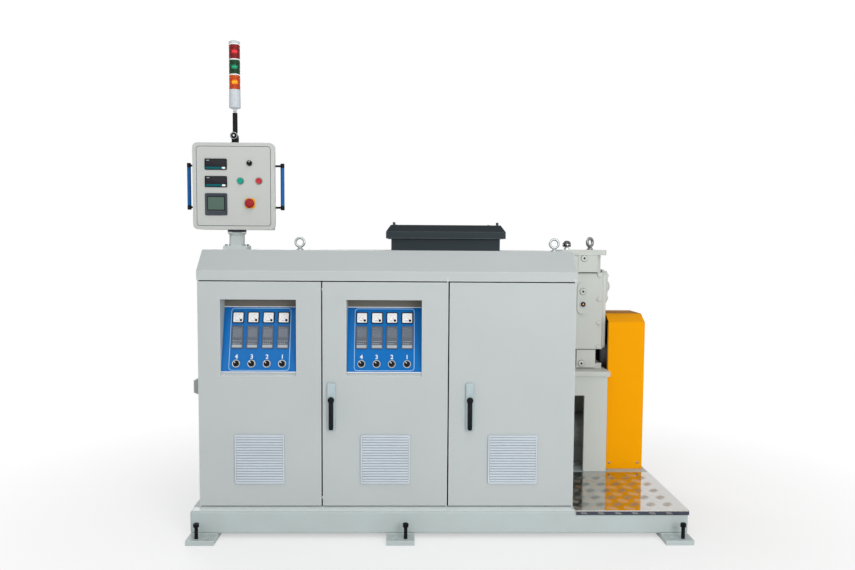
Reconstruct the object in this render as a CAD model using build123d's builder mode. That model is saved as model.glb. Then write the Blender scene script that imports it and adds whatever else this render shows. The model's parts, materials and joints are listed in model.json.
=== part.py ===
# Floor-standing plastic extruder in a three-door cabinet on a base frame, with a control
# pendant, a signal tower, an upright gearbox on a stand, a belt guard and a tread plate.
# Millimetres. X runs to the right along the machine, Y to the rear, Z up; the front faces -Y.
# The origin is the centre of the base frame on the floor.
from build123d import *
import math
import os

os.makedirs("parts", exist_ok=True)

# Base frame and feet
base_l = 2060.0
base_d = 1000.0
foot_t = 20.0
rail_h = 95.0
rail_w = 70.0
cross_w = 60.0
foot_w = 115.0
foot_out = 84.0
foot_under = 60.0
anchor_in = 81.0
anchor_r = 9.0
anchor_out = 56.0
screw_side = 42.0
screw_r = 8.0
screw_up = 64.0
head_r = 12.0
head_h = 16.0
mid_foot_x = -165.0
bed_t = 4.0
tread_lip = 16.0
tread_over = 3.0
tread_d = 0.585 * base_d

left = -base_l / 2
right = base_l / 2
front = -base_d / 2
rear = base_d / 2
rail_top = foot_t + rail_h
bed_top = rail_top + bed_t
anchor_x = right - anchor_in
anchor_y = rear + anchor_out

# Cabinet
sheet = 4.0
cab_x0 = left + 28.0
cab_x1 = right - 473.0 / 2060.0 * base_l
cab_set = 40.0
cab_d = 920.0 / 1000.0 * base_d
door_gap = 6.0
door_t = 22.0
door_w_left = 510.0 / 2060.0 * base_l
door_w_middle = 522.0 / 2060.0 * base_l
door_h = 932.0
frame_t = 30.0
post_w = 36.0
pin_r = 3.0
pin_fit = 0.09
floor_t = 6.0
turn = 3.0

door_y = front + cab_set
cab_rear = door_y + cab_d
floor_top = rail_top + floor_t
door_z0 = floor_top + 5.0
door_z1 = door_z0 + door_h
frame_y = door_y + door_t + door_gap
seam_a = cab_x0 + door_w_left
seam_b = seam_a + door_w_middle

# Cover over the cabinet
cover_z0 = door_z1 + 5.0
band_h = 39.0
slope_h = 85.0
slope_d = 105.0
fold_z = cover_z0 + band_h
cover_z1 = fold_z + slope_h
cover_rear = cab_rear + 6.0

# Door windows, the control plates in them and the filter grilles
win_w = 310.0
win_h = 315.0
win_rise = 544.0
win_side = 250.0
plate_in = 6.0
plate_back = 90.0
plate_low = 14.0
plate_drop = 35.0
inst_pitch = 63.0
inst_w = 48.0
inst_h = 96.0
inst_out = 7.0
knob_r = 11.0
knob_out = 16.0
grille_size = 204.0
grille_t = 8.0
grille_rim = 8.0
grille_rise = 197.0
grille_hole = 176.0
slat_pitch = 11.0

win_z0 = door_z0 + win_rise
win_z1 = win_z0 + win_h
win_x = (cab_x0 + win_side, seam_a + win_side + 6.0)
plate_z0 = win_z0 + plate_low
plate_z1 = win_z1 - plate_drop
grille_z = door_z0 + grille_rise
grille_x = (cab_x0 + 253.0, seam_a + 262.0, seam_b + 269.0)

# Door handles
handle_w = 35.0
handle_h = 200.0
handle_t = 12.0
handle_rise = 417.0
lever_up = 30.0
lever_len = 124.0
lever_w = 21.0
lever_gap = 5.0
lever_t = 9.0
lever_r = 13.3
lever_pin = 9.0
handle_z = door_z0 + handle_rise
lever_z = handle_z + lever_up
handle_x = (seam_a + 39.0, seam_b + 89.0)

# Control pendant on its post
pend_set = 300.0
pend_w = 356.0
pend_h = 376.0
pend_d = 130.0
pend_r = 22.0
pend_lip = 28.0
pend_in = 20.0
groove_r = 13.0
post_h = 87.0
flange_t = 16.0
flange_w = 104.0
post_side = 60.0
ring_r = 43.0
collar_r = 41.0
grip_out = 27.0
grip_in = 50.0
grip_r = 9.0
grip_len = 204.0
grip_up = 1.0
grip_end = 11.0
meter_w = 96.0
meter_t = 5.0

pend_x = left + 130.0
pend_y0 = front + pend_set
pend_z0 = cover_z1 + post_h
pend_z1 = pend_z0 + pend_h
post_y = pend_y0 + pend_d / 2
pend_cz = pend_z0 + pend_h / 2
grip_y = pend_y0 + grip_in
panel_x = pend_x - 76.0

# Signal tower: heights of its pieces from the pivot up
tower_r = 25.0
pivot_up = 34.0
stem_h = 106.0
neck_h = 16.0
tower_neck_r = 12.0
tower_body_h = 81.0
lamp_h = 62.0
lamp_gap = 3.5
cap_h = 13.0
stem_r = 11.0
neck_r = 20.0
pivot_r = 5.0

tower_x = pend_x - 4.0
pivot_z = pend_z1 + pivot_up
neck_z = pivot_z + stem_h
tower_z = neck_z + neck_h
lamp_z = tower_z + tower_body_h

# Gearbox, stand and belt guard
gear_x = right - 315.0
gear_half = 104.0
gear_h = 583.0
stand_h = 491.0
stand_x0 = right - 455.0
stand_x1 = right - 194.0
stand_plate = 25.0
stand_wall = 20.0
leg_x0 = right - 316.0
leg_x1 = right - 205.0
portal_up = 93.0
guard_w = 177.0
guard_h = 761.0
guard_rise = 38.0
guard_run = 72.0
guard_t = 3.0

stand_y0 = front + tread_d + 6.0
stand_y1 = rear - 66.0
gear_z0 = bed_top + stand_h
gear_y0 = stand_y0 + 90.0
gear_y1 = stand_y1 - 20.0
gear_yc = (gear_y0 + gear_y1) / 2
guard_x1 = right - 15.0
guard_x0 = guard_x1 - guard_w
guard_y0 = front + tread_d + 60.0
guard_y1 = rear - 70.0
guard_z1 = bed_top + guard_h
motor_r = 92.0 / 343.0 * (stand_y1 - stand_y0)
motor_z = bed_top + 160.0
drive_z = gear_z0 + 150.0
pulley_low_r = 62.0
pulley_top_r = 88.0
belt_t = 8.0
belt_w = 60.0


def block(x0, x1, y0, y1, z0, z1, mode=Mode.ADD):
    # A plain rectangular block between opposite corners.
    with Locations(((x0 + x1) / 2, (y0 + y1) / 2, (z0 + z1) / 2)):
        Box(x1 - x0, y1 - y0, z1 - z0, mode=mode)


def post(x, y, z0, z1, r, mode=Mode.ADD):
    # An upright round bar.
    with Locations((x, y, (z0 + z1) / 2)):
        Cylinder(r, z1 - z0, mode=mode)


def bar_y(x, z, y0, y1, r, mode=Mode.ADD):
    # A round bar from front to rear.
    with Locations(Location((x, (y0 + y1) / 2, z), (90, 0, 0))):
        Cylinder(r, y1 - y0, mode=mode)


def bar_x(y, z, x0, x1, r, mode=Mode.ADD):
    # A round bar from left to right.
    with Locations(Location(((x0 + x1) / 2, y, z), (0, 90, 0))):
        Cylinder(r, x1 - x0, mode=mode)


def many(plane, x, y, r, height, sides, mode=Mode.ADD):
    # A many-sided bar, for small round pieces that need few faces.
    with BuildSketch(plane) as outline:
        with Locations((x, y)):
            RegularPolygon(r, sides, rotation=180 / sides)
    extrude(outline.sketch, amount=height, mode=mode)


def many_z(x, y, z0, z1, r, sides=24, mode=Mode.ADD):
    many(Plane.XY.offset(z0), x, y, r, z1 - z0, sides, mode)


def many_y(x, z, y0, y1, r, sides=24, mode=Mode.ADD):
    many(Plane.XZ.offset(-y1), x, z, r, y1 - y0, sides, mode)


def many_x(y, z, x0, x1, r, sides=24, mode=Mode.ADD):
    many(Plane.YZ.offset(x0), y, z, r, x1 - x0, sides, mode)


def keep(part, name):
    part.part.label = name
    export_step(part.part, "parts/" + name + ".step")


# Three feet along the front rail and three along the rear one
foot_len = foot_out + foot_under
feet = []
for side in (-1, 1):
    for place in (-1, 0, 1):
        foot_x = place * (right - foot_w / 2) if place else mid_foot_x
        hole_x = place * anchor_x if place else mid_foot_x - screw_side / 2
        stud_x = place * (anchor_x + screw_side) if place else mid_foot_x + screw_side / 2
        feet.append((foot_x, side * (rear + (foot_out - foot_under) / 2), hole_x, stud_x, side * anchor_y))

with BuildPart() as base_rails:
    block(left, right, front, front + rail_w, foot_t, rail_top)
    block(left, right, rear - rail_w, rear, foot_t, rail_top)
keep(base_rails, "base_rails")

with BuildPart() as base_crossbars:
    for x in (left + cross_w / 2, seam_a - cross_w, mid_foot_x, seam_b + 0.4 * (cab_x1 - seam_b),
              cab_x1 + cross_w / 2 + 5, right - cross_w / 2):
        block(x - cross_w / 2, x + cross_w / 2, front + rail_w, rear - rail_w, foot_t + 10, rail_top)
keep(base_crossbars, "base_crossbars")

with BuildPart() as bed_plate:
    block(cab_x1 + tread_over, right, front + tread_d, rear, rail_top, bed_top)
keep(bed_plate, "bed_plate")

with BuildPart() as tread_plate:
    block(cab_x1 + tread_over, right + tread_over, front - tread_over, front + tread_d, rail_top, bed_top)
    block(cab_x1 + tread_over, right + tread_over, front - tread_over, front, rail_top - tread_lip, bed_top)
    block(right, right + tread_over, front, front + tread_d, rail_top - tread_lip, bed_top)
keep(tread_plate, "tread_plate")

with BuildPart() as foot_plates:
    for foot_x, foot_y, hole_x, stud_x, hole_y in feet:
        block(foot_x - foot_w / 2, foot_x + foot_w / 2, foot_y - foot_len / 2, foot_y + foot_len / 2,
              0, foot_t)
        post(hole_x, hole_y, 0, foot_t, anchor_r, Mode.SUBTRACT)
keep(foot_plates, "foot_plates")

with BuildPart() as jack_screws:
    for foot_x, foot_y, hole_x, stud_x, hole_y in feet:
        many_z(stud_x, hole_y, foot_t, foot_t + screw_up - head_h + 1, screw_r, 12)
        many_z(stud_x, hole_y, foot_t + screw_up - head_h, foot_t + screw_up, head_r, 16)
        many_z(stud_x, hole_y, foot_t + screw_up - head_h / 2, foot_t + screw_up, head_r * 0.55, 6,
               Mode.SUBTRACT)
keep(jack_screws, "jack_screws")

# Cabinet shell. The doors turn on pins in the floor and in the cover.
hinges = (cab_x0 + turn + pin_r, seam_b - door_gap / 2 - pin_r, cab_x1 - turn - pin_r)
with BuildPart() as cabinet_floor:
    block(cab_x0, cab_x1, door_y + 2, cab_rear, rail_top, floor_top)
    for x in hinges:
        post(x, door_y + pin_r, rail_top, floor_top, pin_r + pin_fit, Mode.SUBTRACT)
keep(cabinet_floor, "cabinet_floor")

with BuildPart() as cabinet_side_walls:
    for x in (cab_x0, cab_x1 - sheet):
        block(x, x + sheet, frame_y, cab_rear, floor_top, cover_z0)
keep(cabinet_side_walls, "cabinet_side_walls")

with BuildPart() as cabinet_back:
    block(cab_x0 + sheet, cab_x1 - sheet, cab_rear - sheet, cab_rear, floor_top, cover_z0)
keep(cabinet_back, "cabinet_back")

with BuildPart() as cabinet_headers:
    for z in (floor_top, cover_z0 - post_w):
        block(cab_x0 + sheet, cab_x1 - sheet, frame_y, frame_y + frame_t, z, z + post_w)
keep(cabinet_headers, "cabinet_headers")

with BuildPart() as cabinet_posts:
    for x in (cab_x0 + sheet, seam_b - post_w / 2, cab_x1 - sheet - post_w):
        block(x, x + post_w, frame_y, frame_y + frame_t, floor_top + post_w, cover_z0 - post_w)
keep(cabinet_posts, "cabinet_posts")

panel_y = door_y + 0.55 * cab_d
with BuildPart() as mounting_panel:
    block(cab_x0 + 2 * post_w, cab_x1 - 2 * post_w, panel_y, panel_y + sheet, floor_top, cover_z0 - post_w)
    for x in (cab_x0 + 2 * post_w, cab_x1 - 2 * post_w - post_w):
        block(x, x + post_w, panel_y, panel_y + post_w, floor_top, floor_top + sheet)
keep(mounting_panel, "mounting_panel")

cowl_z = door_z0 + 487.0 / 932.0 * door_h
cowl_h = 78.0
cowl_out = 34.0
cowl_y = front + 110.0
cowl_d = 130.0
with BuildPart() as side_cowl:
    for inset, mode in ((0, Mode.ADD), (turn, Mode.SUBTRACT)):
        with BuildSketch(Plane.XZ.offset(-cowl_y)):
            with BuildLine():
                Polyline((cab_x0, cowl_z - cowl_h / 2 + inset), (cab_x0, cowl_z + cowl_h / 2 - inset),
                         (cab_x0 - cowl_out + inset, cowl_z + cowl_h / 3 - inset),
                         (cab_x0 - cowl_out + inset, cowl_z - cowl_h / 3 + inset), close=True)
            make_face()
        extrude(amount=inset - cowl_d, mode=mode)
keep(side_cowl, "side_cowl")


def cover_profile(t):
    # Side view of the cover, taken in by the sheet thickness t.
    lean = math.atan2(slope_d, slope_h)
    k = t * math.tan(lean / 2)
    j = t * math.tan((math.pi / 2 - lean) / 2)
    return [(door_y + t, cover_z0), (door_y + t, fold_z - k), (door_y + slope_d + j, cover_z1 - t),
            (cover_rear - t, cover_z1 - t), (cover_rear - t, cover_z0)]


with BuildPart() as cover:
    for t, mode in ((0, Mode.ADD), (sheet, Mode.SUBTRACT)):
        with BuildSketch(Plane.YZ.offset(cab_x0 + t)):
            with BuildLine():
                Polyline(*cover_profile(t), close=True)
            make_face()
        extrude(amount=cab_x1 - cab_x0 - 2 * t, mode=mode)
    block(cab_x0 + sheet, cab_x1 - sheet, door_y + sheet, frame_y + frame_t, cover_z0, cover_z0 + 3 * sheet)
    for x in hinges:
        post(x, door_y + pin_r, cover_z0 - 1, cover_z0 + 3 * sheet, pin_r + pin_fit, Mode.SUBTRACT)
keep(cover, "cover")

# Vent hood: a low box with an overhanging cap, bevelled all round
hood_w = 482.0
hood_d = 0.43 * base_d
hood_h = 53.0
cap_out = 23.0
cap_skirt = 30.0
cap_bevel = 30.0
stud_r = 6.0
stud_h = 12.0
hood_x0 = seam_b - 244.0
hood_x1 = hood_x0 + hood_w
hood_y0 = front + 0.33 * base_d
hood_y1 = hood_y0 + hood_d
skirt_z = cover_z1 + hood_h
bevel_z = skirt_z + cap_skirt
cap_z = bevel_z + cap_bevel
with BuildPart() as vent_hood:
    for z, out in ((bevel_z, cap_out), (cap_z, 2)):
        with BuildSketch(Plane.XY.offset(z)):
            with Locations(((hood_x0 + hood_x1) / 2, (hood_y0 + hood_y1) / 2)):
                Rectangle(hood_w + 2 * out, hood_d + 2 * out)
    loft()
    block(hood_x0 - cap_out, hood_x1 + cap_out, hood_y0 - cap_out, hood_y1 + cap_out, skirt_z, bevel_z)
    block(hood_x0 - cap_out + turn, hood_x1 + cap_out - turn, hood_y0 - cap_out + turn,
          hood_y1 + cap_out - turn, skirt_z, bevel_z - turn, Mode.SUBTRACT)
    block(hood_x0, hood_x1, hood_y0, hood_y1, cover_z1, bevel_z)
    block(hood_x0 + sheet, hood_x1 - sheet, hood_y0 + sheet, hood_y1 - sheet, cover_z1, bevel_z - turn,
          Mode.SUBTRACT)
    for x in (hood_x0 + 2 * stud_r, hood_x1 - 2 * stud_r):
        for y in (hood_y0 + 2 * stud_r, hood_y1 - 2 * stud_r):
            many_z(x, y, cap_z - 1, cap_z + stud_h, stud_r, 12)
keep(vent_hood, "vent_hood")


def eye(x, y, z, r, wire, turned):
    # Collar, neck and ring of a lifting eye that stands on a surface.
    many_z(x, y, z, z + wire, r * 0.8, 12)
    many_z(x, y, z, z + 2 * wire, wire, 8)
    ring_plane = Plane(origin=(x, y, z + wire + r + wire), x_dir=(math.cos(turned), math.sin(turned), 0),
                       z_dir=(math.sin(turned), -math.cos(turned), 0))
    many(ring_plane.offset(-0.8 * wire), 0, 0, r + wire, 1.6 * wire, 16)
    many(ring_plane.offset(-wire), 0, 0, r - wire, 2 * wire, 12, Mode.SUBTRACT)


eye_x = (cab_x0 + 398.0, cab_x1 - 65.0)
eye_y = front + 230.0
with BuildPart() as lifting_eyes:
    for x in eye_x:
        eye(x, eye_y, cover_z1, 17.5, 5.5, 0)
    eye(gear_x + 45, gear_yc - 50, gear_z0 + gear_h, 20.5, 6.5, math.radians(45))
keep(lifting_eyes, "lifting_eyes")

# Doors: pans with turned edges, window and grille cut-outs, and a pin at the hinge corner
doors = (
    ("door_left", cab_x0 + turn, seam_a - door_gap / 2, hinges[0], win_x[0], grille_x[0]),
    ("door_middle", seam_a + door_gap / 2, seam_b - door_gap / 2, hinges[1], win_x[1], grille_x[1]),
    ("door_right", seam_b + door_gap / 2, cab_x1 - turn, hinges[2], None, grille_x[2]),
)
for name, x0, x1, hinge_x, window, vent in doors:
    with BuildPart() as door:
        block(x0, x1, door_y, door_y + door_t, door_z0, door_z1)
        block(x0 + turn, x1 - turn, door_y + turn, door_y + door_t, door_z0 + turn, door_z1 - turn,
              Mode.SUBTRACT)
        block(hinge_x - pin_r, hinge_x + pin_r, door_y, door_y + 2 * pin_r, door_z0, door_z1)
        if window is not None:
            block(window - win_w / 2, window + win_w / 2, door_y, door_y + turn, win_z0, win_z1,
                  Mode.SUBTRACT)
        block(vent - grille_hole / 2, vent + grille_hole / 2, door_y, door_y + turn,
              grille_z - grille_hole / 2, grille_z + grille_hole / 2, Mode.SUBTRACT)
        post(hinge_x, door_y + pin_r, door_z0 - 10, door_z0 + 1, pin_r)
        post(hinge_x, door_y + pin_r, door_z1 - 1, door_z1 + 14, pin_r)
    keep(door, name)

# Recess boxes behind the two windows, with the inclined control plates in them
lean_s = (plate_back - plate_in) / math.hypot(plate_back - plate_in, plate_z1 - plate_z0)
lean_c = math.sqrt(1 - lean_s ** 2)
plate_len = math.hypot(plate_back - plate_in, plate_z1 - plate_z0)


def plate_plane(x, lift=0.0):
    # Plane over the front of an inclined control plate, origin at its lower edge.
    return Plane(origin=(x, door_y + plate_in - lift * lean_c, plate_z0 + lift * lean_s), x_dir=(1, 0, 0),
                 z_dir=(0, -lean_c, lean_s))


for window, word in zip(win_x, ("left", "middle")):
    with BuildPart() as recess:
        for t, mode in ((turn, Mode.ADD), (0, Mode.SUBTRACT)):
            with BuildSketch(Plane.YZ.offset(window - win_w / 2 - t)):
                with BuildLine():
                    Polyline((door_y + turn, win_z0 - t), (door_y + turn, win_z1 + t),
                             (door_y + plate_back + turn + t, win_z1 + t),
                             (door_y + plate_back + turn + t, plate_z1),
                             (door_y + plate_in + turn + t, plate_z0),
                             (door_y + plate_in + turn + t, win_z0 - t), close=True)
                make_face()
            extrude(amount=win_w + 2 * t, mode=mode)
    keep(recess, "window_box_" + word)

    with BuildPart() as control_plate:
        with BuildSketch(plate_plane(window)):
            with Locations((0, plate_len / 2)):
                Rectangle(win_w - 1, plate_len)
        extrude(amount=-turn + 0.3)
    keep(control_plate, "control_plate_" + word)

    with BuildPart() as instruments:
        for k in range(4):
            u = (k - 1.5) * inst_pitch
            with BuildSketch(plate_plane(window)):
                with Locations((u, plate_len * 0.828)):
                    Rectangle(inst_w, inst_w)
                with Locations((u, plate_len * 0.527)):
                    Rectangle(inst_w, inst_h)
            extrude(amount=inst_out)
    keep(instruments, "instruments_" + word)

    with BuildPart() as switches:
        for k in range(4):
            u = (k - 1.5) * inst_pitch
            many(plate_plane(window), u, plate_len * 0.129, knob_r * 1.45, turn, 16)
            many(plate_plane(window, turn), u, plate_len * 0.129, knob_r, knob_out - turn, 12)
    keep(switches, "rotary_switches_" + word)

# Louvred filter grilles on the doors
for vent, word in zip(grille_x, ("left", "middle", "right")):
    half = grille_size / 2
    slats = 17
    low = grille_z - slats * slat_pitch / 2
    with BuildPart() as grille:
        block(vent - half, vent + half, door_y - grille_t, door_y, grille_z - half, grille_z + half)
        chamfer(grille.edges().filter_by(Axis.Y), 5)
        block(vent - half + grille_rim, vent + half - grille_rim, door_y - grille_t, door_y,
              low, low + slats * slat_pitch, Mode.SUBTRACT)
        for k in range(slats):
            z = low + slat_pitch * (k + 0.5)
            with BuildSketch(Plane.YZ.offset(vent - half + grille_rim)):
                with BuildLine():
                    Polyline((door_y - grille_t + 1, z - 5), (door_y - grille_t + 1, z - 3),
                             (door_y - 1, z + 5.2), (door_y - 1, z + 3.2), close=True)
                make_face()
            extrude(amount=grille_size - 2 * grille_rim)
    keep(grille, "grille_" + word)

# Door handles: a long plate and a turning lever
for x, word in zip(handle_x, ("middle", "right")):
    y0 = door_y - handle_t
    with BuildPart() as handle_plate:
        block(x - handle_w / 2, x + handle_w / 2, y0, door_y,
              handle_z - handle_h / 2, handle_z + handle_h / 2)
        chamfer(handle_plate.edges().filter_by(Axis.Y), 6)
        chamfer(handle_plate.faces().sort_by(Axis.Y)[0].edges(), 3)
        bar_y(x, lever_z, y0, y0 + handle_t / 2, lever_pin + pin_fit, Mode.SUBTRACT)
    keep(handle_plate, "handle_plate_" + word)
    with BuildPart() as lever:
        bar_y(x, lever_z, y0 - lever_gap - 1, y0 + handle_t / 2, lever_pin)
        many_y(x, lever_z, y0 - lever_gap - lever_t - 2, y0 - lever_gap, lever_r, 24)
        block(x - lever_w / 2, x + lever_w / 2, y0 - lever_gap - lever_t, y0 - lever_gap,
              lever_z - lever_len, lever_z)
    keep(lever, "handle_lever_" + word)

# Pendant post, swivel and box
ring_z = pend_z0 - 12.0
ring_r0 = post_side * 0.53
with BuildPart() as pendant_post:
    block(pend_x - flange_w / 2, pend_x + flange_w / 2, post_y - flange_w / 2, post_y + flange_w / 2,
          cover_z1, cover_z1 + flange_t)
    block(pend_x - post_side / 2, pend_x + post_side / 2, post_y - post_side / 2, post_y + post_side / 2,
          cover_z1 + flange_t, ring_z - 14)
    chamfer(pendant_post.edges().filter_by(Axis.Z).group_by(SortBy.LENGTH)[-1], 9)
    with BuildSketch(Plane.XY.offset(ring_z - 14)):
        with Locations((pend_x, post_y)):
            RegularPolygon(ring_r0, 24)
    extrude(amount=14, taper=-math.degrees(math.atan((ring_r - ring_r0) / 14)))
    post(pend_x, post_y, ring_z - 20, ring_z, neck_r + pin_fit, Mode.SUBTRACT)
keep(pendant_post, "pendant_post")

with BuildPart() as pendant_collar:
    many_z(pend_x, post_y, ring_z + 2, pend_z0, collar_r)
    post(pend_x, post_y, ring_z - 20, pend_z0, neck_r)
keep(pendant_collar, "pendant_collar")

# Push buttons, selector and emergency stop: place on the panel, ring, shank and how far each stands out
ring_t = 3.0
shank_in = 9.0
controls = (("start_button", 29.3, 22.7, 16.0, 12.8, 8.0), ("stop_button", 109.7, 23.0, 16.0, 12.8, 8.0),
            ("selector_knob", 69.5, 99.6, 13.5, 11.0, 16.0),
            ("emergency_stop", 70.8, -74.3, 23.5, 11.0, 10.0))
head_out = 14.0
mushroom_r = 20.5

with BuildPart() as pendant_box:
    block(pend_x - pend_w / 2, pend_x + pend_w / 2, pend_y0, pend_y0 + pend_lip, pend_z0, pend_z1)
    fillet(pendant_box.edges().filter_by(Axis.Y), pend_r)
    body_half = pend_w / 2 - pend_in
    block(pend_x - body_half, pend_x + body_half, pend_y0 + pend_lip, pend_y0 + pend_d, pend_z0, pend_z1)
    block(pend_x - body_half + sheet, pend_x + body_half - sheet, pend_y0 + 6, pend_y0 + pend_d - turn,
          pend_z0 + sheet, pend_z1 - sheet, Mode.SUBTRACT)
    with BuildSketch(Plane.XZ.offset(-pend_y0)):
        with Locations((pend_x, pend_cz)):
            RectangleRounded(pend_w - 33, pend_h - 30, groove_r)
            RectangleRounded(pend_w - 38, pend_h - 35, groove_r - 2.5, mode=Mode.SUBTRACT)
    extrude(amount=-turn, mode=Mode.SUBTRACT)
    for name, u, v, outer, inner, out in controls:
        bar_y(pend_x + u, pend_cz + v, pend_y0 - 1, pend_y0 + 8, inner + pin_fit, Mode.SUBTRACT)
keep(pendant_box, "pendant_box")

with BuildPart() as pendant_meters:
    for z, h in ((pend_cz + 94, meter_w / 2), (pend_cz + 19, meter_w / 2), (pend_cz - 79, meter_w)):
        block(panel_x - meter_w / 2, panel_x + meter_w / 2, pend_y0 - meter_t, pend_y0, z - h / 2, z + h / 2)
keep(pendant_meters, "pendant_meters")

for name, u, v, outer, inner, out in controls:
    with BuildPart() as button:
        bar_y(pend_x + u, pend_cz + v, pend_y0 - out - 1, pend_y0 + shank_in, inner)
        if outer > 20:
            many_y(pend_x + u, pend_cz + v, pend_y0 - out - head_out, pend_y0 - out, mushroom_r, 32)
    keep(button, name)

with BuildPart() as button_rings:
    for name, u, v, outer, inner, out in controls:
        many_y(pend_x + u, pend_cz + v, pend_y0 - ring_t, pend_y0, outer, 24)
        many_y(pend_x + u, pend_cz + v, pend_y0 - ring_t, pend_y0, inner + 0.5, 24, Mode.SUBTRACT)
keep(button_rings, "button_rings")

with BuildPart() as pendant_grips:
    for side in (-1, 1):
        x = pend_x + side * (pend_w / 2 + grip_out)
        grip_z0 = pend_cz + grip_up - grip_len / 2
        many_z(x, grip_y, grip_z0, grip_z0 + grip_len, grip_r, 16)
        for z in (grip_z0 + grip_end, grip_z0 + grip_len - grip_end):
            inside = x - side * (grip_out + pend_in)
            many_x(grip_y, z, min(x, inside), max(x, inside), 7, 12)
keep(pendant_grips, "pendant_grips")

# Folding signal tower: the stem turns on a bolt between two ears
ear_t = 6.0
ear_in = 14.0
with BuildPart() as tower_bracket:
    block(tower_x - 17, tower_x + 17, post_y - 24, post_y + 24, pend_z1, pend_z1 + ear_t)
    for y in (post_y - ear_in - ear_t, post_y + ear_in):
        block(tower_x - 12, tower_x + 12, y, y + ear_t, pend_z1, pivot_z)
        many_y(tower_x, pivot_z, y, y + ear_t, 12, 20)
    bar_y(tower_x, pivot_z, post_y - ear_in - ear_t - 6, post_y + ear_in + ear_t + 3, pivot_r)
    many_y(tower_x, pivot_z, post_y - ear_in - ear_t - 13, post_y - ear_in - ear_t - 5, 16.5, 12)
keep(tower_bracket, "tower_bracket")

with BuildPart() as tower_stem:
    many_y(tower_x, pivot_z, post_y - ear_in + 1, post_y + ear_in - 1, 12, 20)
    many_z(tower_x, post_y, pivot_z, neck_z + 1, stem_r, 20)
    bar_y(tower_x, pivot_z, post_y - ear_in, post_y + ear_in, pivot_r + pin_fit, Mode.SUBTRACT)
    many_z(tower_x, post_y, neck_z, tower_z, tower_neck_r, 20)
keep(tower_stem, "tower_stem")

lamp_step = lamp_h + lamp_gap
with BuildPart() as tower_body:
    many_z(tower_x, post_y, tower_z, lamp_z, tower_r, 32)
    many_z(tower_x, post_y, lamp_z + 3 * lamp_step, lamp_z + 3 * lamp_step + cap_h - 4, tower_r, 32)
    many_z(tower_x, post_y, lamp_z + 3 * lamp_step + cap_h - 5, lamp_z + 3 * lamp_step + cap_h,
           tower_r - 4, 32)
keep(tower_body, "tower_body")

for k, name in enumerate(("lamp_amber", "lamp_green", "lamp_red")):
    z = lamp_z + k * lamp_step
    with BuildPart() as lamp:
        many_z(tower_x, post_y, z, z + lamp_h, tower_r, 32)
        many_z(tower_x, post_y, z + lamp_h - 1, z + lamp_step, tower_r - 3, 24)
    keep(lamp, name)

# Stand for the gearbox: a thick top plate on a box of plates with a portal in front
with BuildPart() as gearbox_stand:
    block(stand_x0, stand_x1, stand_y0 - 8, stand_y1, gear_z0 - stand_plate, gear_z0)
    block(stand_x0 + 11, leg_x1, stand_y0, stand_y1 - 10, bed_top, gear_z0 - stand_plate)
    block(stand_x0 + 11 + stand_wall, leg_x1 - stand_wall, stand_y0 + stand_wall,
          stand_y1 - 10 - stand_wall, bed_top, gear_z0 - stand_plate, Mode.SUBTRACT)
    block(stand_x0 + 50, leg_x0, stand_y0, stand_y0 + stand_wall, bed_top,
          gear_z0 - stand_plate - portal_up, Mode.SUBTRACT)
    many_x(gear_yc, motor_z, leg_x1 - stand_wall, leg_x1, 50, 24, Mode.SUBTRACT)
keep(gearbox_stand, "gearbox_stand")

with BuildPart() as drive_motor:
    many_x(gear_yc, motor_z, stand_x0 + 60, leg_x1 - stand_wall - 25, motor_r, 24)
    many_x(gear_yc, motor_z, leg_x1 - stand_wall - 26, guard_x0 + 40, 14, 16)
    block(stand_x0 + 80, leg_x1 - stand_wall - 45, gear_yc - motor_r + 2, gear_yc + motor_r - 2,
          bed_top, bed_top + 12)
    block(stand_x0 + 90, leg_x1 - stand_wall - 55, gear_yc - motor_r / 1.5, gear_yc + motor_r / 1.5,
          bed_top, motor_z)
keep(drive_motor, "drive_motor")

# Upright gearbox with lugs above and below and a stepped bearing cover on its side
plate_h = 26.0
lug_h = 88.0
gear_top = gear_z0 + gear_h
case_z0 = gear_z0 + 97.0
case_z1 = gear_top - plate_h - lug_h + 3.0
shaft_z = case_z1 - 71.0
pad_z = case_z1 - 126.0
with BuildPart() as gearbox_body:
    block(gear_x - gear_half, gear_x + gear_half, gear_y0, gear_y1, case_z0, case_z1)
    chamfer(gearbox_body.edges().filter_by(Axis.Z), 9)
    block(gear_x - 25, gear_x + 68, gear_y0 - 7, gear_y1 - 20, case_z1 - 2, gear_top - plate_h)
    block(gear_x - 25, gear_x + 66, gear_y0 - 7, gear_y1 - 20, gear_z0 + 8, case_z0 + 2)
    block(gear_x - 90, gear_x + 101, gear_y0 + 10, gear_y1, gear_z0, gear_z0 + plate_h)
    block(gear_x - 60, gear_x + 92, gear_y0 + 30, gear_y1 - 20, case_z1 - 10, gear_top - plate_h)
    block(gear_x - 60, gear_x + 70, gear_y0 + 30, gear_y1 - 20, gear_z0 + plate_h, case_z0 + 10)
    with BuildSketch(Plane.XZ.offset(-gear_y0)):
        with Locations((gear_x, pad_z)):
            SlotOverall(156, 54, rotation=90)
    extrude(amount=7)
    for k in range(4):
        many_y(gear_x + 80, case_z1 - 12 - k * (case_z1 - case_z0 - 24) / 3, gear_y0 - 5, gear_y0 + 1, 9, 12)
keep(gearbox_body, "gearbox_body")

with BuildPart() as gearbox_top:
    block(gear_x - gear_half - 8, gear_x + gear_half + 8, gear_y0 - 10, gear_y1,
          gear_top - plate_h, gear_top)
    chamfer(gearbox_top.edges().filter_by(Axis.Z), 8)
keep(gearbox_top, "gearbox_top")

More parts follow.
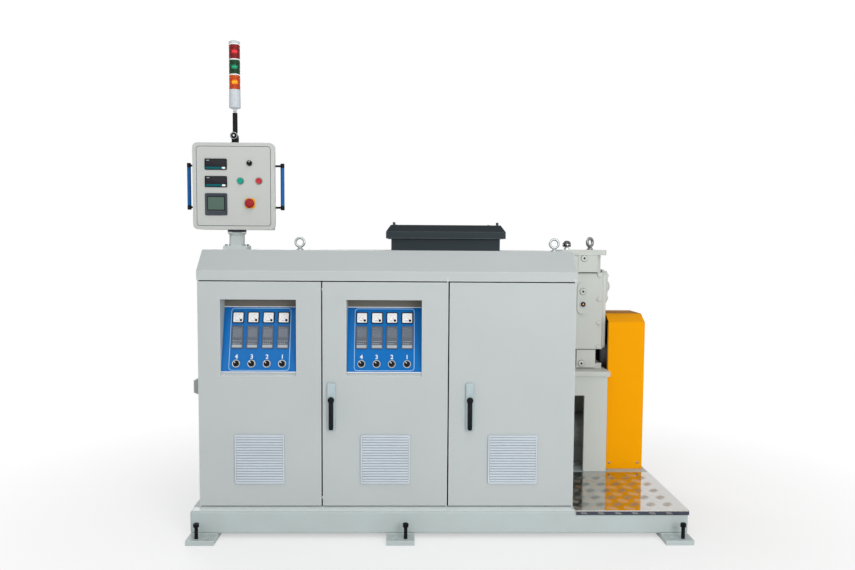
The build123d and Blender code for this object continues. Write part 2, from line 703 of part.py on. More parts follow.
with BuildPart() as gearbox_plugs:
    many_y(gear_x, pad_z + 34, gear_y0 - 14, gear_y0 - 7, 15, 20)
    many_y(gear_x + 3, gear_top - 41, gear_y0 - 14, gear_y0 - 7, 15, 20)
    many_y(gear_x - 2, gear_z0 + 27, gear_y0 - 14, gear_y0 - 7, 15, 20)
    many_y(gear_x + 1, pad_z - 28, gear_y0 - 17, gear_y0 - 7, 11, 6)
keep(gearbox_plugs, "gearbox_plugs")

with BuildPart() as bearing_cover:
    block(gear_x + gear_half, gear_x + gear_half + 11, gear_yc - 78, gear_yc + 78,
          shaft_z - 85, shaft_z + 85)
    chamfer(bearing_cover.edges().filter_by(Axis.X), 16)
    many_x(gear_yc, shaft_z, gear_x + gear_half + 10, gear_x + gear_half + 20, 58, 32)
    many_x(gear_yc, shaft_z, gear_x + gear_half + 19, gear_x + gear_half + 37, 14, 16)
keep(bearing_cover, "bearing_cover")

with BuildPart() as gearbox_breather:
    many_z(gear_x - 70, gear_yc - 50, gear_top, gear_top + 13, 11, 16)
    many_z(gear_x - 70, gear_yc - 50, gear_top + 10, gear_top + 46, 14, 24)
    many_z(gear_x - 70, gear_yc - 50, gear_top + 14, gear_top + 42, 20, 24)
keep(gearbox_breather, "gearbox_breather")

# Belt drive between the motor and the gearbox shaft
belt_x = guard_x0 + guard_w / 2
with BuildPart() as belt_drive:
    for z, r in ((motor_z, pulley_low_r), (drive_z, pulley_top_r)):
        many_x(gear_yc, z, belt_x - belt_w / 2 - 5, belt_x + belt_w / 2 + 5, r, 32)
    many_x(gear_yc, drive_z, gear_x + gear_half, belt_x, 22, 20)
    for side in (-1, 1):
        with BuildSketch(Plane.YZ.offset(belt_x - belt_w / 2)):
            with BuildLine():
                Polyline((gear_yc + side * (pulley_low_r - 4), motor_z),
                         (gear_yc + side * (pulley_low_r + belt_t - 4), motor_z),
                         (gear_yc + side * (pulley_top_r + belt_t - 4), drive_z),
                         (gear_yc + side * (pulley_top_r - 4), drive_z), close=True)
            make_face()
        extrude(amount=belt_w)
    many_x(gear_yc, motor_z, guard_x0 + 40, belt_x, 20, 20)
keep(belt_drive, "belt_drive")

# Belt guard: a folded box open towards the gearbox
with BuildPart() as belt_guard:
    for t, mode in ((0, Mode.ADD), (guard_t, Mode.SUBTRACT)):
        with BuildSketch(Plane.YZ.offset(guard_x0)):
            with BuildLine():
                Polyline((guard_y0 + t, bed_top), (guard_y0 + t, guard_z1 - guard_rise - t / 2),
                         (guard_y0 + guard_run + t / 2, guard_z1 - t), (guard_y1 - t, guard_z1 - t),
                         (guard_y1 - t, bed_top), close=True)
            make_face()
        extrude(amount=guard_w - t, mode=mode)
    block(guard_x0, guard_x0 + guard_t, guard_y0, guard_y0 + 22, bed_top, guard_z1 - guard_rise)
    block(guard_x0, guard_x0 + guard_t, guard_y1 - 22, guard_y1, bed_top, guard_z1)
keep(belt_guard, "belt_guard")

# Dark plate that closes the guard towards the gearbox, with room for both shafts
with BuildPart() as guard_back:
    block(guard_x0 + 14, guard_x0 + 14 + guard_t, guard_y0 + guard_t, guard_y1 - guard_t, bed_top,
          guard_z1 - guard_rise - guard_t)
    for z, r in ((motor_z, 24), (drive_z, 26)):
        many_x(gear_yc, z, guard_x0 + 13, guard_x0 + 15 + guard_t, r, 24, Mode.SUBTRACT)
keep(guard_back, "guard_back")
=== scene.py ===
# %% [markdown]
# # Dressing a plastic extruder
# The machine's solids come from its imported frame: exact in size, but bare. This lesson gives them paint,
# metal and plastic, rounds their folded edges, and builds the small things that make a machine read as
# one: instruments, switches, lamps, screws, weld beads and the five-bar tread.

# %% Load the frame
import json
from math import cos, hypot, pi, radians, sin
import bmesh
import bpy
import numpy as np
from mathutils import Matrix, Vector

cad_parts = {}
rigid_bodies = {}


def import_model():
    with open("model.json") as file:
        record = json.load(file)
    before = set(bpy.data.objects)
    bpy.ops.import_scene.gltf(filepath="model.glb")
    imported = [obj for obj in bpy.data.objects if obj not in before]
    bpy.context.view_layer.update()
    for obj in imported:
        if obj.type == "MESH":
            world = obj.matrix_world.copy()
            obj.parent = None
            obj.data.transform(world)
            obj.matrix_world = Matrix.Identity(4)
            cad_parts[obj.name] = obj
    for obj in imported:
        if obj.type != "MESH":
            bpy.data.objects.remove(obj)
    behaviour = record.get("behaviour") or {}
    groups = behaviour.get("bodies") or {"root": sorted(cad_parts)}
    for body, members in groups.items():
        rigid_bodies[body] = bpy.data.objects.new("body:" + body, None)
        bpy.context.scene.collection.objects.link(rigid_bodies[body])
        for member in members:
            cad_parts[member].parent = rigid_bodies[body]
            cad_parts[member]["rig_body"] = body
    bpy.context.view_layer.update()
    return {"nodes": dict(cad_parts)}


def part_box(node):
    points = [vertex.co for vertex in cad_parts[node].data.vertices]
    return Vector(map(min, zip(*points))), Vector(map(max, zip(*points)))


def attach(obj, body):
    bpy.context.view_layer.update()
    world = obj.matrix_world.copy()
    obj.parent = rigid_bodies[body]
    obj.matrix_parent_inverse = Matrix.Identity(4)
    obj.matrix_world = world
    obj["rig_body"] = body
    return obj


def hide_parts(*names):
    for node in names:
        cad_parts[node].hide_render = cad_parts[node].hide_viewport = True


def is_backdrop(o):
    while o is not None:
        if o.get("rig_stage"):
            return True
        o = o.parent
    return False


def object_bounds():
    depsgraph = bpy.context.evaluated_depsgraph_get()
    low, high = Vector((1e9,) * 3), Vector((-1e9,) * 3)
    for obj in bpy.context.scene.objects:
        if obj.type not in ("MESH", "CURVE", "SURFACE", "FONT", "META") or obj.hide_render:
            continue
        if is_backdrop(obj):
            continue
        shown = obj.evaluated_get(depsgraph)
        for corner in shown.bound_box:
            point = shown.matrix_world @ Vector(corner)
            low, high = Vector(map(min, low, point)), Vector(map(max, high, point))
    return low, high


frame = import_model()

solids = frame["nodes"]

# %% [markdown]
# ## Camera and studio
# The photograph looks at the doors almost squarely, from a little above the middle of the cabinet, so all
# three turns of the camera are small. The background is white. Only rays that come from the camera, a
# mirror or glass see that white; everything else sees a softer world, so the paint is not washed out.

# %% Camera
scene = bpy.context.scene


def standing(name, data):
    """An object that holds the data and stands in the scene."""
    thing = bpy.data.objects.new(name, data)
    scene.collection.objects.link(thing)
    return thing


camera = standing("camera", bpy.data.cameras.new("camera"))
scene.camera = camera
camera.location = (-0.1386, -3.8591, 1.2077)
camera.rotation_euler = [radians(turn) for turn in (85.910, -0.343, -1.076)]
camera.data.sensor_width, camera.data.lens = 36.0, 34.98
camera.data.shift_x, camera.data.shift_y = 0.0042, 0.0237
scene.view_settings.view_transform = "Standard"
print("camera:", tuple(round(v, 3) for v in camera.location))

# %% [markdown]
# ## Arithmetic on sockets
# A finish is a sum of patterns: broad clouds of tone, fine specks, edges rubbed bright. Written as nodes
# that is a page of links. A small class that wraps a socket lets the same sum be written as an expression,
# and one method makes every kind of node from its values or links and its settings.


# %% Socket arithmetic and the node maker
class Flow:
    """A number that flows between nodes. Each operator adds one Math node."""

    def __init__(self, nodes, socket):
        self.nodes, self.socket = nodes, socket

    def math(self, operation, *values):
        return self.nodes.node("Math", dict(enumerate(values)), operation=operation)

    def __add__(self, other): return self.math("ADD", self, other)
    def __sub__(self, other): return self.math("SUBTRACT", self, other)
    def __rsub__(self, other): return self.math("SUBTRACT", other, self)
    def __mul__(self, other): return self.math("MULTIPLY", self, other)

    def above(self, low, high):
        """0 below low, 1 above high, and a straight rise between."""
        return self.nodes.node("MapRange", {0: self, 1: low, 2: high}, clamp=True)


class Nodes:
    """A node tree with one method that makes every kind of node."""

    def __init__(self, tree):
        self.tree = tree

    def node(self, kind, values, out=0, **settings):
        """Adds a shader node: its settings first, then the value or link of each named socket."""
        node = self.tree.nodes.new("ShaderNode" + kind)
        for key, value in settings.items():
            setattr(node, key, value)
        for key, value in values.items():
            if isinstance(value, Flow):
                self.tree.links.new(value.socket, node.inputs[key])
            else:
                node.inputs[key].default_value = value
        return Flow(self, node.outputs[out])

    def seen_by(self, *kinds):
        """1 for rays of these kinds, 0 for all others."""
        rays = [self.node("LightPath", {}, f"Is {kind} Ray") for kind in kinds]
        return sum(rays[1:], rays[0]).above(0.0, 1.0)


class Finish(Nodes):
    """A material whose Principled shader is fed by patterns on object coordinates."""

    def __init__(self, name, **shader):
        self.material = bpy.data.materials.new(name)
        self.material.use_nodes = True
        super().__init__(self.material.node_tree)
        self.shader = next(n for n in self.tree.nodes if n.type == "BSDF_PRINCIPLED")
        for socket, value in shader.items():
            self.shader.inputs[socket.replace("_", " ")].default_value = value
        self.place = self.node("TexCoord", {}, "Object")

    def noise(self, scale, detail=3.0, stretch=(1, 1, 1)):
        """A cloud pattern; scale counts its features in a metre."""
        where = self.place
        if stretch != (1, 1, 1):
            where = self.node("Mapping", {"Vector": self.place, "Scale": stretch})
        return self.node("TexNoise", {"Vector": where, "Scale": scale, "Detail": detail})

    def mix(self, mask, first, second):
        """first where the mask is 0, second where it is 1."""
        return self.node("Mix", {0: mask, 6: first, 7: second}, 2, data_type="RGBA")

    def edges(self, reach):
        """1 along sharp corners: there the rounded normal turns away from the face's own."""
        near = self.node("Bevel", {"Radius": reach}, samples=4)
        flat = self.node("NewGeometry", {}, "Normal")
        along = self.node("VectorMath", {0: near, 1: flat}, "Value", operation="DOT_PRODUCT")
        return (1.0 - along).above(0.008, 0.07)

    def height(self, flow, strength, distance):
        """Turns a pattern into bumps of that depth in metres."""
        bump = self.node("Bump", {"Height": flow, "Strength": strength, "Distance": distance})
        self.feed("Normal", bump)

    def feed(self, socket, flow):
        self.tree.links.new(flow.socket, self.shader.inputs[socket])


def colour(red, green, blue, lift=1.0):
    """The linear colour of a shade that a screen shows with these 0 to 255 values, times lift."""
    shown = np.array([red, green, blue]) / 255
    linear = np.where(shown < 0.04045, shown / 12.92, ((shown + 0.055) / 1.055) ** 2.4)
    return tuple(float(v) for v in np.clip(linear * lift, 0, 1)) + (1.0,)


# %% [markdown]
# ## Paints
# The cabinet is powder coated: one even light grey with a fine orange peel, faint clouds, dust that
# settles towards the floor, and corners that hands and slings have rubbed, lightened further by a painted
# highlight along every edge. Creases are darkened with painted shade. Some paints get a lighter top as painted
# light, others a darker top as painted shade. The same recipe, with other numbers, gives the cast gearbox its
# rough paint, the hood its slate and the guard its orange-yellow.


# %% Paint recipe
# Tones for dust, for the painted shade in creases, and for edges lightened by wear and a painted highlight.
dust_tone, crease_shade_tone, rubbed_highlight_tone = colour(150, 140, 122), colour(84, 86, 82), colour(236, 240, 240)


def paint(name, shade, rough=0.42, peel=0.25, grain=420, bare_and_highlight=None, wear_and_highlight=0.75, dust=0.3, cloud=0.05, gloss=0.2,
          crease_shade=0.35, painted_top_tone=None):
    """Powder coat: clouds of tone, dust near the floor, painted shade in creases, corners lightened by wear and by a
    painted highlight, and an orange peel.

    The top-tone argument is (amount, shade) or (amount, shade, least): another tone on faces that look up more than
    least; a lighter one is painted light on the top, a darker one painted shade.
    """
    finish = Finish(name, Specular_IOR_Level=gloss)
    broad = finish.noise(2.2, 4.0)
    tone = finish.mix(broad, colour(*shade, 1 - cloud), colour(*shade, 1 + cloud))
    up = finish.node("SeparateXYZ", {0: finish.place}, "Z")
    settled = (1.0 - up.above(0.0, 0.35)) * finish.noise(9.0, 6.0).above(0.35, 0.75) * dust
    tone = finish.mix(settled, tone, dust_tone)
    # Painted light and shade on up-facing faces: a lighter tone stands for light falling on the top, a darker one for
    # shade.
    if painted_top_tone:
        true = finish.node("NewGeometry", {}, "True Normal")
        facing = finish.node("SeparateXYZ", {0: true}, "Z")
        amount, painted_top_colour, least = (*painted_top_tone, 0.96)[:3]
        tone = finish.mix(facing.above(least, least + 0.035) * amount, tone, colour(*painted_top_colour))
    # Painted shade: ambient occlusion darkens creases and gaps towards a dark tone.
    if crease_shade:
        open_sky = finish.node("AmbientOcclusion", {"Distance": 0.007}, "AO", samples=4)
        tone = finish.mix((1.0 - open_sky).above(0.25, 0.75) * crease_shade, tone, crease_shade_tone)
    # Edges lightened by wear, where the noise rises, and by a painted highlight, the constant part of the mask.
    rubbed_and_highlight = finish.edges(0.0042) * (finish.noise(34.0, 5.0).above(0.42, 0.62) * 0.4 + 0.6) * wear_and_highlight
    tone = finish.mix(rubbed_and_highlight, tone, bare_and_highlight or rubbed_highlight_tone)
    finish.feed("Base Color", tone)
    finish.feed("Roughness", broad * 0.10 + rough - 0.05 + settled * 0.3)
    finish.height(finish.noise(grain, 2.0), peel, 0.0004)
    return finish.material


cabinet_paint = paint("cabinet_paint", (187, 193, 193), dust=0.1, wear_and_highlight=0.5, crease_shade=0.2)
# The cabinet grey made darker: painted shade for the cowl's face.
cowl_shade_paint = paint("cowl_shade_paint", (166, 171, 169), dust=0.1)
# The window boxes' up-facing faces, the sills, are painted near-white: a painted highlight.
box_paint = paint("box_paint", (187, 193, 193), dust=0, painted_top_tone=(0.8, (250, 253, 253)))
pendant_paint = paint("pendant_paint", (194, 197, 193), dust=0, wear_and_highlight=0.4)
post_paint = paint("post_paint", (200, 208, 207), dust=0)
frame_paint = paint("frame_paint", (184, 195, 195), rough=0.46, peel=0.4, dust=0.16, wear_and_highlight=0.6)
# The rails' top, the strip under the doors, is painted lighter: painted light.
rail_paint = paint("rail_paint", (184, 195, 195), rough=0.46, peel=0.4, dust=0.16, wear_and_highlight=0.6,
                   painted_top_tone=(0.8, (240, 246, 244)))
inner_paint = paint("inner_paint", (184, 188, 187), dust=0.1, wear_and_highlight=0.1)
# Near-black paint: painted shade for the seams between doors and for the gaps at the gearbox lugs.
seam_shade_black = paint("seam_shade_black", (46, 49, 50), rough=0.7, dust=0, wear_and_highlight=0)
gear_paint = paint("gear_paint", (203, 207, 201), rough=0.5, peel=0.8, grain=130, dust=0.05, wear_and_highlight=0.45, cloud=0.08,
                   crease_shade=0.7)
# The hood's sloping top is painted darker as painted shade, and its edges get a light painted highlight.
slate_paint = paint("slate_paint", (47, 56, 61), rough=0.45, bare_and_highlight=colour(132, 142, 146), wear_and_highlight=0.9, dust=0,
                    gloss=0.12, painted_top_tone=(0.7, (24, 31, 34), 0.35))
# The guard's top is painted dark brown as painted shade; its edges get a lighter painted highlight.
guard_paint = paint("guard_paint", (255, 168, 0), rough=0.55, bare_and_highlight=colour(255, 196, 80), dust=0, wear_and_highlight=0.25,
                    gloss=0.04, painted_top_tone=(0.7, (70, 46, 24)))
motor_paint = paint("motor_paint", (150, 155, 151), rough=0.5, peel=0.5, bare_and_highlight=colour(110, 114, 116))
plate_blue = paint("plate_blue", (0, 106, 181), rough=0.3, peel=0.08, wear_and_highlight=0, dust=0, cloud=0.12, gloss=0.12)
tube_blue = paint("tube_blue", (0, 92, 163), rough=0.35, peel=0.05, wear_and_highlight=0, dust=0, cloud=0.1, gloss=0.2)
print("paints:", len(bpy.data.materials))

# %% [markdown]
# ## Metals, plastics and lenses
# Metal takes its look from roughness more than from colour: cloudy for zinc, streaked for rolled
# aluminium, nearly even for chrome. Plastics are moulded with a faint grain. The tower's lenses let some
# light through; a glowing core behind each paints a highlight in its middle, in place of reflected light.


# %% Metal, plastic and lens recipes
def metal(name, shade, rough, spread=0.15, grain=60, stretch=(1, 1, 1), dent=0.1, stain=0.15):
    """Bare metal: smears of roughness along the stretch, faint stains and small dents."""
    finish = Finish(name, Metallic=1.0)
    smear = finish.noise(grain, 5.0, stretch)
    tone = finish.mix(smear.above(0.3, 0.8) * stain, colour(*shade), colour(*shade, 0.35))
    finish.feed("Base Color", tone)
    finish.feed("Roughness", smear * spread + rough)
    finish.height(smear, dent, 0.0003)
    return finish.material


def plastic(name, shade, rough=0.45, grain=900, peel=0.15, cloud=0.06, gloss=0.2, **more):
    """Moulded plastic: a fine even grain, faint clouds and a slightly worn gloss."""
    finish = Finish(name, Specular_IOR_Level=gloss, **more)
    broad = finish.noise(14.0, 3.0)
    finish.feed("Base Color", finish.mix(broad, colour(*shade, 1 - cloud), colour(*shade, 1 + cloud)))
    finish.feed("Roughness", broad * 0.12 + rough - 0.06)
    finish.height(finish.noise(grain, 2.0), peel, 0.0002)
    return finish.material


zinc = metal("zinc", (172, 177, 178), 0.22, 0.3, 90)
chrome = metal("chrome", (225, 226, 228), 0.06, 0.08, 50, dent=0.02, stain=0.05)
steel = metal("steel", (138, 140, 141), 0.25, 0.2, 120)
brass = metal("brass", (176, 128, 48), 0.22, 0.2, 150)
aluminium = metal("aluminium", (196, 194, 190), 0.03, 0.10, 7, (1, 12, 1), dent=0.02, stain=0.15)
shaded_aluminium = metal("shaded_aluminium", (78, 82, 94), 0.2, 0.2, 30)
black_steel = metal("black_steel", (30, 30, 32), 0.34, 0.2, 160)
black = plastic("black_plastic", (18, 19, 21), 0.5, gloss=0.12)
breather_black = plastic("breather_black", (26, 28, 32), 0.12, gloss=0.9)
dark_plastic = plastic("dark_plastic", (60, 65, 74), 0.42)
recess_shade_grey = plastic("recess_shade_grey", (118, 114, 106), 0.6)
handle_grey = plastic("handle_grey", (178, 194, 198), 0.4)
slit_shade_grey = plastic("slit_shade_grey", (146, 154, 162), 0.5)
strip_grey = plastic("strip_grey", (168, 175, 181), 0.4)
controller_grey = plastic("controller_grey", (92, 99, 109), 0.4)
line_blue = plastic("line_blue", (164, 204, 234), 0.4, peel=0.02)
white_plastic = plastic("white_plastic", (203, 210, 215), 0.35)
grille_plastic = plastic("grille_plastic", (199, 208, 216), 0.5)
face_white = plastic("face_white", (250, 251, 251), 0.3, peel=0.02)
print_white = plastic("print_white", (234, 243, 250), 0.4, peel=0.02)
print_black = plastic("print_black", (28, 28, 30), 0.4, peel=0.02)
needle_orange = plastic("needle_orange", (226, 92, 34), 0.4)
glass_dark = plastic("glass_dark", (34, 34, 39), 0.25, peel=0.01, cloud=0.15, gloss=0.1)
screen_grey = plastic("screen_grey", (104, 112, 123), 0.2, peel=0.01, cloud=0.14)
smoked = plastic("smoked", (52, 57, 66), 0.25, peel=0.01, cloud=0.12, gloss=0.1)
screen_green = plastic("screen_green", (86, 108, 98), 0.25, peel=0.01, cloud=0.10, gloss=0.1)
teal = plastic("teal", (0, 92, 98), 0.35, gloss=0.1)
green_cap = plastic("green_cap", (0, 156, 132), 0.3, gloss=0.2)
palm_red = plastic("palm_red", (158, 30, 36), 0.4, gloss=0.2)
red_cap = plastic("red_cap", (182, 34, 38), 0.3, gloss=0.3)
yellow_cap = plastic("yellow_cap", (244, 176, 20), 0.4)
lens_red, lens_green, lens_amber = (
    plastic(name, shade, 0.10, 300, 0.1, 0.2, 0.1, Transmission_Weight=0.35)
    for name, shade in (("lens_red", (128, 1, 2)), ("lens_green", (0, 60, 28)), ("lens_amber", (190, 68, 0))))
# Painted glow: an emissive core that stands in for the highlight in each lens.
bulb_glow_highlight = plastic("bulb_glow_highlight", (255, 228, 190), 0.3, Emission_Strength=6.0)
print("finishes:", len(bpy.data.materials))

# %% [markdown]
# ## Surfaces from numbers
# Nearly every small piece here is an outline carried along a profile: a bezel is a rounded rectangle
# drawn in while it rises, a knob is a circle, a screw a hexagon. So one function makes the outline, a
# second carries it through the steps of a profile, and a third says where on the machine it stands. As on a
# workshop drawing, what is drawn on a place is in millimetres; the place's own origin is in metres.


# %% Outlines and places
MM = 0.001


def rounded(width, height, corner, turns=4):
    """Rounded rectangle, anticlockwise: each corner's centre plus its radius times (cos a, sin a)."""
    def outline(inset):
        w, h = width / 2 - inset, height / 2 - inset
        r = max(min(corner - inset, w, h), 0.1)
        quarter = np.arange(4)[:, None]
        angle = (quarter * pi / 2 + np.linspace(0, pi / 2, turns + 1)).ravel()
        side_x = np.repeat([1, -1, -1, 1], turns + 1) * (w - r)
        side_y = np.repeat([1, 1, -1, -1], turns + 1) * (h - r)
        return side_x + r * np.cos(angle), side_y + r * np.sin(angle)
    return outline


def circle(radius, sides=24, turn=0.0):
    """Circle or regular polygon: radius less the inset, times (cos a, sin a)."""
    angle = np.arange(sides) * 2 * pi / sides + turn
    return lambda inset: ((radius - inset) * np.cos(angle), (radius - inset) * np.sin(angle))


def spot(origin, right=(1, 0, 0), up=(0, 0, 1)):
    """A place on the machine: origin + (across * right + along * up + lift * (right x up)) millimetres."""
    sides = MM * np.array((right, up, np.cross(right, up)))
    return lambda across, along, lift: np.array(origin) + np.stack([across, along, lift], -1) @ sides


def front_of(name):
    """The middle of the front of a solid's box in metres, and the box's width and height in millimetres."""
    low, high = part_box(name)
    return ((low.x + high.x) / 2, low.y, (low.z + high.z) / 2), (high.x - low.x) / MM, (high.z - low.z) / MM


# %% A piece gathers surfaces
class Piece:
    """Gathers grids of points, drawn on the place of the moment, into one mesh; each has its own finish."""

    def __init__(self, name, body, place=None):
        self.name, self.body, self.place = name, body, place
        self.points, self.faces, self.kinds, self.finishes = [], [], [], []
        self.count = 0

    def take(self, points, faces, finish):
        """Takes up points and the faces that join them, all in one finish."""
        if finish not in self.finishes:
            self.finishes.append(finish)
        self.points.append(points)
        self.faces += [[v + self.count for v in face] for face in faces]
        self.kinds += [self.finishes.index(finish)] * len(faces)
        self.count += len(points)

    def surface(self, grid, finish, loop=False, caps=""):
        """Joins an m by n grid of points with quads: its rows are closed, and loop closes its columns."""
        grid = np.asarray(grid, float)
        rows, columns = grid.shape[:2]
        index = np.arange(rows * columns).reshape(rows, columns)
        a = index if loop else index[:-1]
        d = np.roll(index, -1, 0) if loop else index[1:]
        b, c = np.roll(a, -1, 1), np.roll(d, -1, 1)
        faces = np.stack([a, b, c, d], -1).reshape(-1, 4).tolist()
        if "top" in caps and not loop:
            faces.append(index[-1].tolist())
        if "base" in caps and not loop:
            faces.append(index[0][::-1].tolist())
        self.take(grid.reshape(-1, 3), faces, finish)

    def raised(self, outline, steps, finish, middle=(0, 0), loop=False, caps="top base"):
        """Ring k is the outline drawn in by steps[k][0] and lifted by steps[k][1] from the place, all in mm."""
        rings = []
        for inset, lift in steps:
            across, along = outline(inset)
            rings.append(self.place(across + middle[0], along + middle[1], np.full(len(across), lift)))
        self.surface(rings, finish, loop, caps)

    def bar(self, start, end, width, low, high, finish):
        """A straight bar between two points of the place: four corners half the width to each side."""
        start, end = np.array(start, float), np.array(end, float)
        side = (end - start)[::-1] * (-1, 1) / np.linalg.norm(end - start) * width / 2
        corners = np.array([start - side, end - side, end + side, start + side]).T
        self.surface([self.place(*corners, np.full(4, lift)) for lift in (low, high)], finish, caps="top base")

    def tube(self, path, radius, finish, sides=12, loop=False):
        """A round section carried along a path in metres: at each point two directions square to its run."""
        path = np.asarray(path, float)
        run = np.roll(path, -1, 0) - np.roll(path, 1, 0) if loop else np.gradient(path, axis=0)
        run /= np.linalg.norm(run, axis=1, keepdims=True)
        least = np.eye(3)[np.argmin(np.abs(run).max(0))]
        side = np.cross(run, least)
        side /= np.linalg.norm(side, axis=1, keepdims=True)
        other = np.cross(run, side)
        angle = np.arange(sides) * 2 * pi / sides
        width = np.broadcast_to(radius, len(path))[:, None, None]
        grid = path[:, None] + width * (np.cos(angle)[:, None] * side[:, None]
                                        + np.sin(angle)[:, None] * other[:, None])
        self.surface(grid, finish, loop, "top base")

    def letters(self, text, size, finish, middle, lift):
        """A flat character turned into a mesh before it gets its place."""
        curve = bpy.data.curves.new(text, "FONT")
        curve.body, curve.size, curve.align_x, curve.align_y = text, size, "CENTER", "CENTER"
        curve.resolution_u, curve.offset = 3, size * 0.018
        holder = standing(text, curve)
        mesh = bpy.data.meshes.new_from_object(holder.evaluated_get(bpy.context.evaluated_depsgraph_get()))
        flat = np.array([v.co for v in mesh.vertices], float)
        self.take(self.place(flat[:, 0] + middle[0], flat[:, 1] + middle[1], np.full(len(flat), lift)),
                  [p.vertices for p in mesh.polygons], finish)
        bpy.data.objects.remove(holder)

    def done(self, slot, *replaces, sharp=35):
        """Puts the points and faces into a mesh, smooths all but the sharp edges, and sets the piece off."""
        mesh = bpy.data.meshes.new(self.name)
        mesh.from_pydata(np.concatenate(self.points), [], self.faces)
        for finish in self.finishes:
            mesh.materials.append(finish)
        mesh.polygons.foreach_set("material_index", np.array(self.kinds, np.int32))
        mesh.shade_smooth()
        mesh.set_sharp_from_angle(angle=radians(sharp))
        piece = standing(self.name, mesh)
        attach(piece, self.body)
        if replaces:
            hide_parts(*replaces)
        print(self.name, "faces:", len(mesh.polygons))


def dome(radius, height, base, steps=5):
    """Profile of a low dome over its base: the inset grows as 1 - cos, the lift as sin, over a quarter turn."""
    turn = np.linspace(0, pi / 2, steps + 1)[:-1]
    return [(radius * (1 - cos(t)), base + height * sin(t)) for t in turn]


# %% [markdown]
# ## Folded sheet and rounded castings
# Real sheet metal is never sharp: a press brake leaves a small radius on each fold, and it is that radius
# which catches a thin line of light along a door. The frame's solids stay as they are. Their copies are
# welded, so that neighbouring faces share their corners, and given a live bevel; castings get a wider one.
# Weighted normals then let each large face keep its own direction, so that only the bevel looks round.

# %% Rounded copies of the frame's solids
looks = {name: cabinet_paint for name in solids}
fold_angle, sharp_angle, weld_gap = radians(28), radians(40), 2e-6


def softened(finish, slot, width, *names, segments=2):
    """A welded copy of each solid with its corners rounded to the width in millimetres, in its new finish."""
    for name in names:
        bm = bmesh.new()
        bm.from_mesh(solids[name].data)
        bmesh.ops.remove_doubles(bm, verts=bm.verts, dist=weld_gap)
        mesh = bpy.data.meshes.new(name + "_skin")
        bm.to_mesh(mesh)
        bm.free()
        mesh.materials.clear()
        mesh.materials.append(finish)
        mesh.polygons.foreach_set("material_index", np.zeros(len(mesh.polygons), np.int32))
        mesh.shade_smooth()
        mesh.set_sharp_from_angle(angle=sharp_angle)
        piece = standing(name + "_skin", mesh)
        round_edges = piece.modifiers.new("round_edges", "BEVEL")
        round_edges.width, round_edges.segments = width * MM, segments
        round_edges.limit_method, round_edges.angle_limit = "ANGLE", fold_angle
        round_edges.miter_outer = "MITER_ARC"
        flat_faces = piece.modifiers.new("flat_faces", "WEIGHTED_NORMAL")
        flat_faces.keep_sharp = True
        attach(piece, solids[name]["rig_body"])
        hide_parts(name)
        looks[name] = finish
    print("softened:", ", ".join(names))


softened(cabinet_paint, "grey_paint", 1.8, "cover", "door_left", "door_middle", "door_right", "cabinet_side_walls",
         "side_cowl")
softened(box_paint, "grey_paint", 1, "window_box_left", "window_box_middle")
softened(rail_paint, "grey_paint", 9, "base_rails", segments=4)
softened(frame_paint, "grey_paint", 2, "foot_plates")
softened(gear_paint, "gear_paint", 2.2, "gearbox_stand")
softened(gear_paint, "gear_paint", 4, "gearbox_body", "gearbox_top", segments=3)
softened(gear_paint, "gear_paint", 2.2, "bearing_cover")
softened(slate_paint, "slate_paint", 1, "vent_hood")
softened(guard_paint, "yellow_paint", 2.4, "belt_guard")
softened(post_paint, "grey_plastic", 1.6, "pendant_post")
softened(pendant_paint, "grey_plastic", 2.8, "pendant_box", segments=3)
softened(black, "black_plastic", 1.6, "tower_bracket")
softened(grille_plastic, "grey_plastic", 0.8, "grille_left", "grille_middle", "grille_right", segments=1)

# %% [markdown]
# ## Louvres of the filter grilles
# A filter grille is one moulding of sloping slats. Seventeen low wedges stand on a darker plate, which is
# painted shade for the dark slit under each slat; each rides on the door that carries its grille. The small
# cowl on the left wall gets its closed face in the same way, in a darker copy of the cabinet grey as painted shade.


# %% Slats and the cowl's face
def trapezoid(inner, outer, depth):
    """Four corners, wide towards +x and narrow towards -x, drawn in by the inset."""
    return lambda inset: (np.array([1, -1, -1, 1]) * (depth / 2 - inset),
                          np.array([-inner, -outer, outer, inner]) / 2 + np.array([1, 1, -1, -1]) * inset)


for side in ("left", "middle", "right"):
    slats = Piece("grille_slats_" + side, "door_" + side, spot(front_of("grille_" + side)[0]))
    # A darker plate behind the slats: painted shade for the slit under each slat.
    slats.raised(rounded(193, 189, 3), [(0, -0.6), (0, 0.2)], slit_shade_grey)
    for n in range(-8, 9):
        slats.raised(rounded(191, 7.8, 1, 2), [(0, 0), (0, 1), (0.6, 1.6)], grille_plastic, (0, 11 * n))
    slats.done("grey_plastic")
middle, width, height = front_of("side_cowl")
cowl = Piece("cowl_face", "machine", spot(middle))
# The cowl's face takes a darker copy of the cabinet grey: painted shade.
cowl.raised(trapezoid(height - 4, height * 0.666 - 4, width - 2), [(0, -3), (0, -1), (0.4, -0.6)], cowl_shade_paint)
cowl.done("grey_paint")

# %% [markdown]
# ## Instruments behind the two windows
# Each window shows an inclined blue plate with a white line round it, four square ammeters, four tall
# temperature controllers, the numbers 4 to 1 and four rotary switches. The plate leans back, so its place
# has an up direction that leans with it, and every instrument is then drawn as if on a table.

# %% Places on the inclined plates
plate_rise, plate_run = 266, 84
plate_length = hypot(plate_rise, plate_run)
meter_pitch = 63
meter_row, control_row, number_row, switch_row = (plate_length * share for share in (0.828, 0.527, 0.232, 0.129))


def on_plate(side):
    """The plate's lower front edge, with up running along the lean."""
    (x, y, z), width, height = front_of("control_plate_" + side)
    return spot((x, y, z + (height / 2 - plate_rise) * MM),
                up=(0, plate_run / plate_length, plate_rise / plate_length))


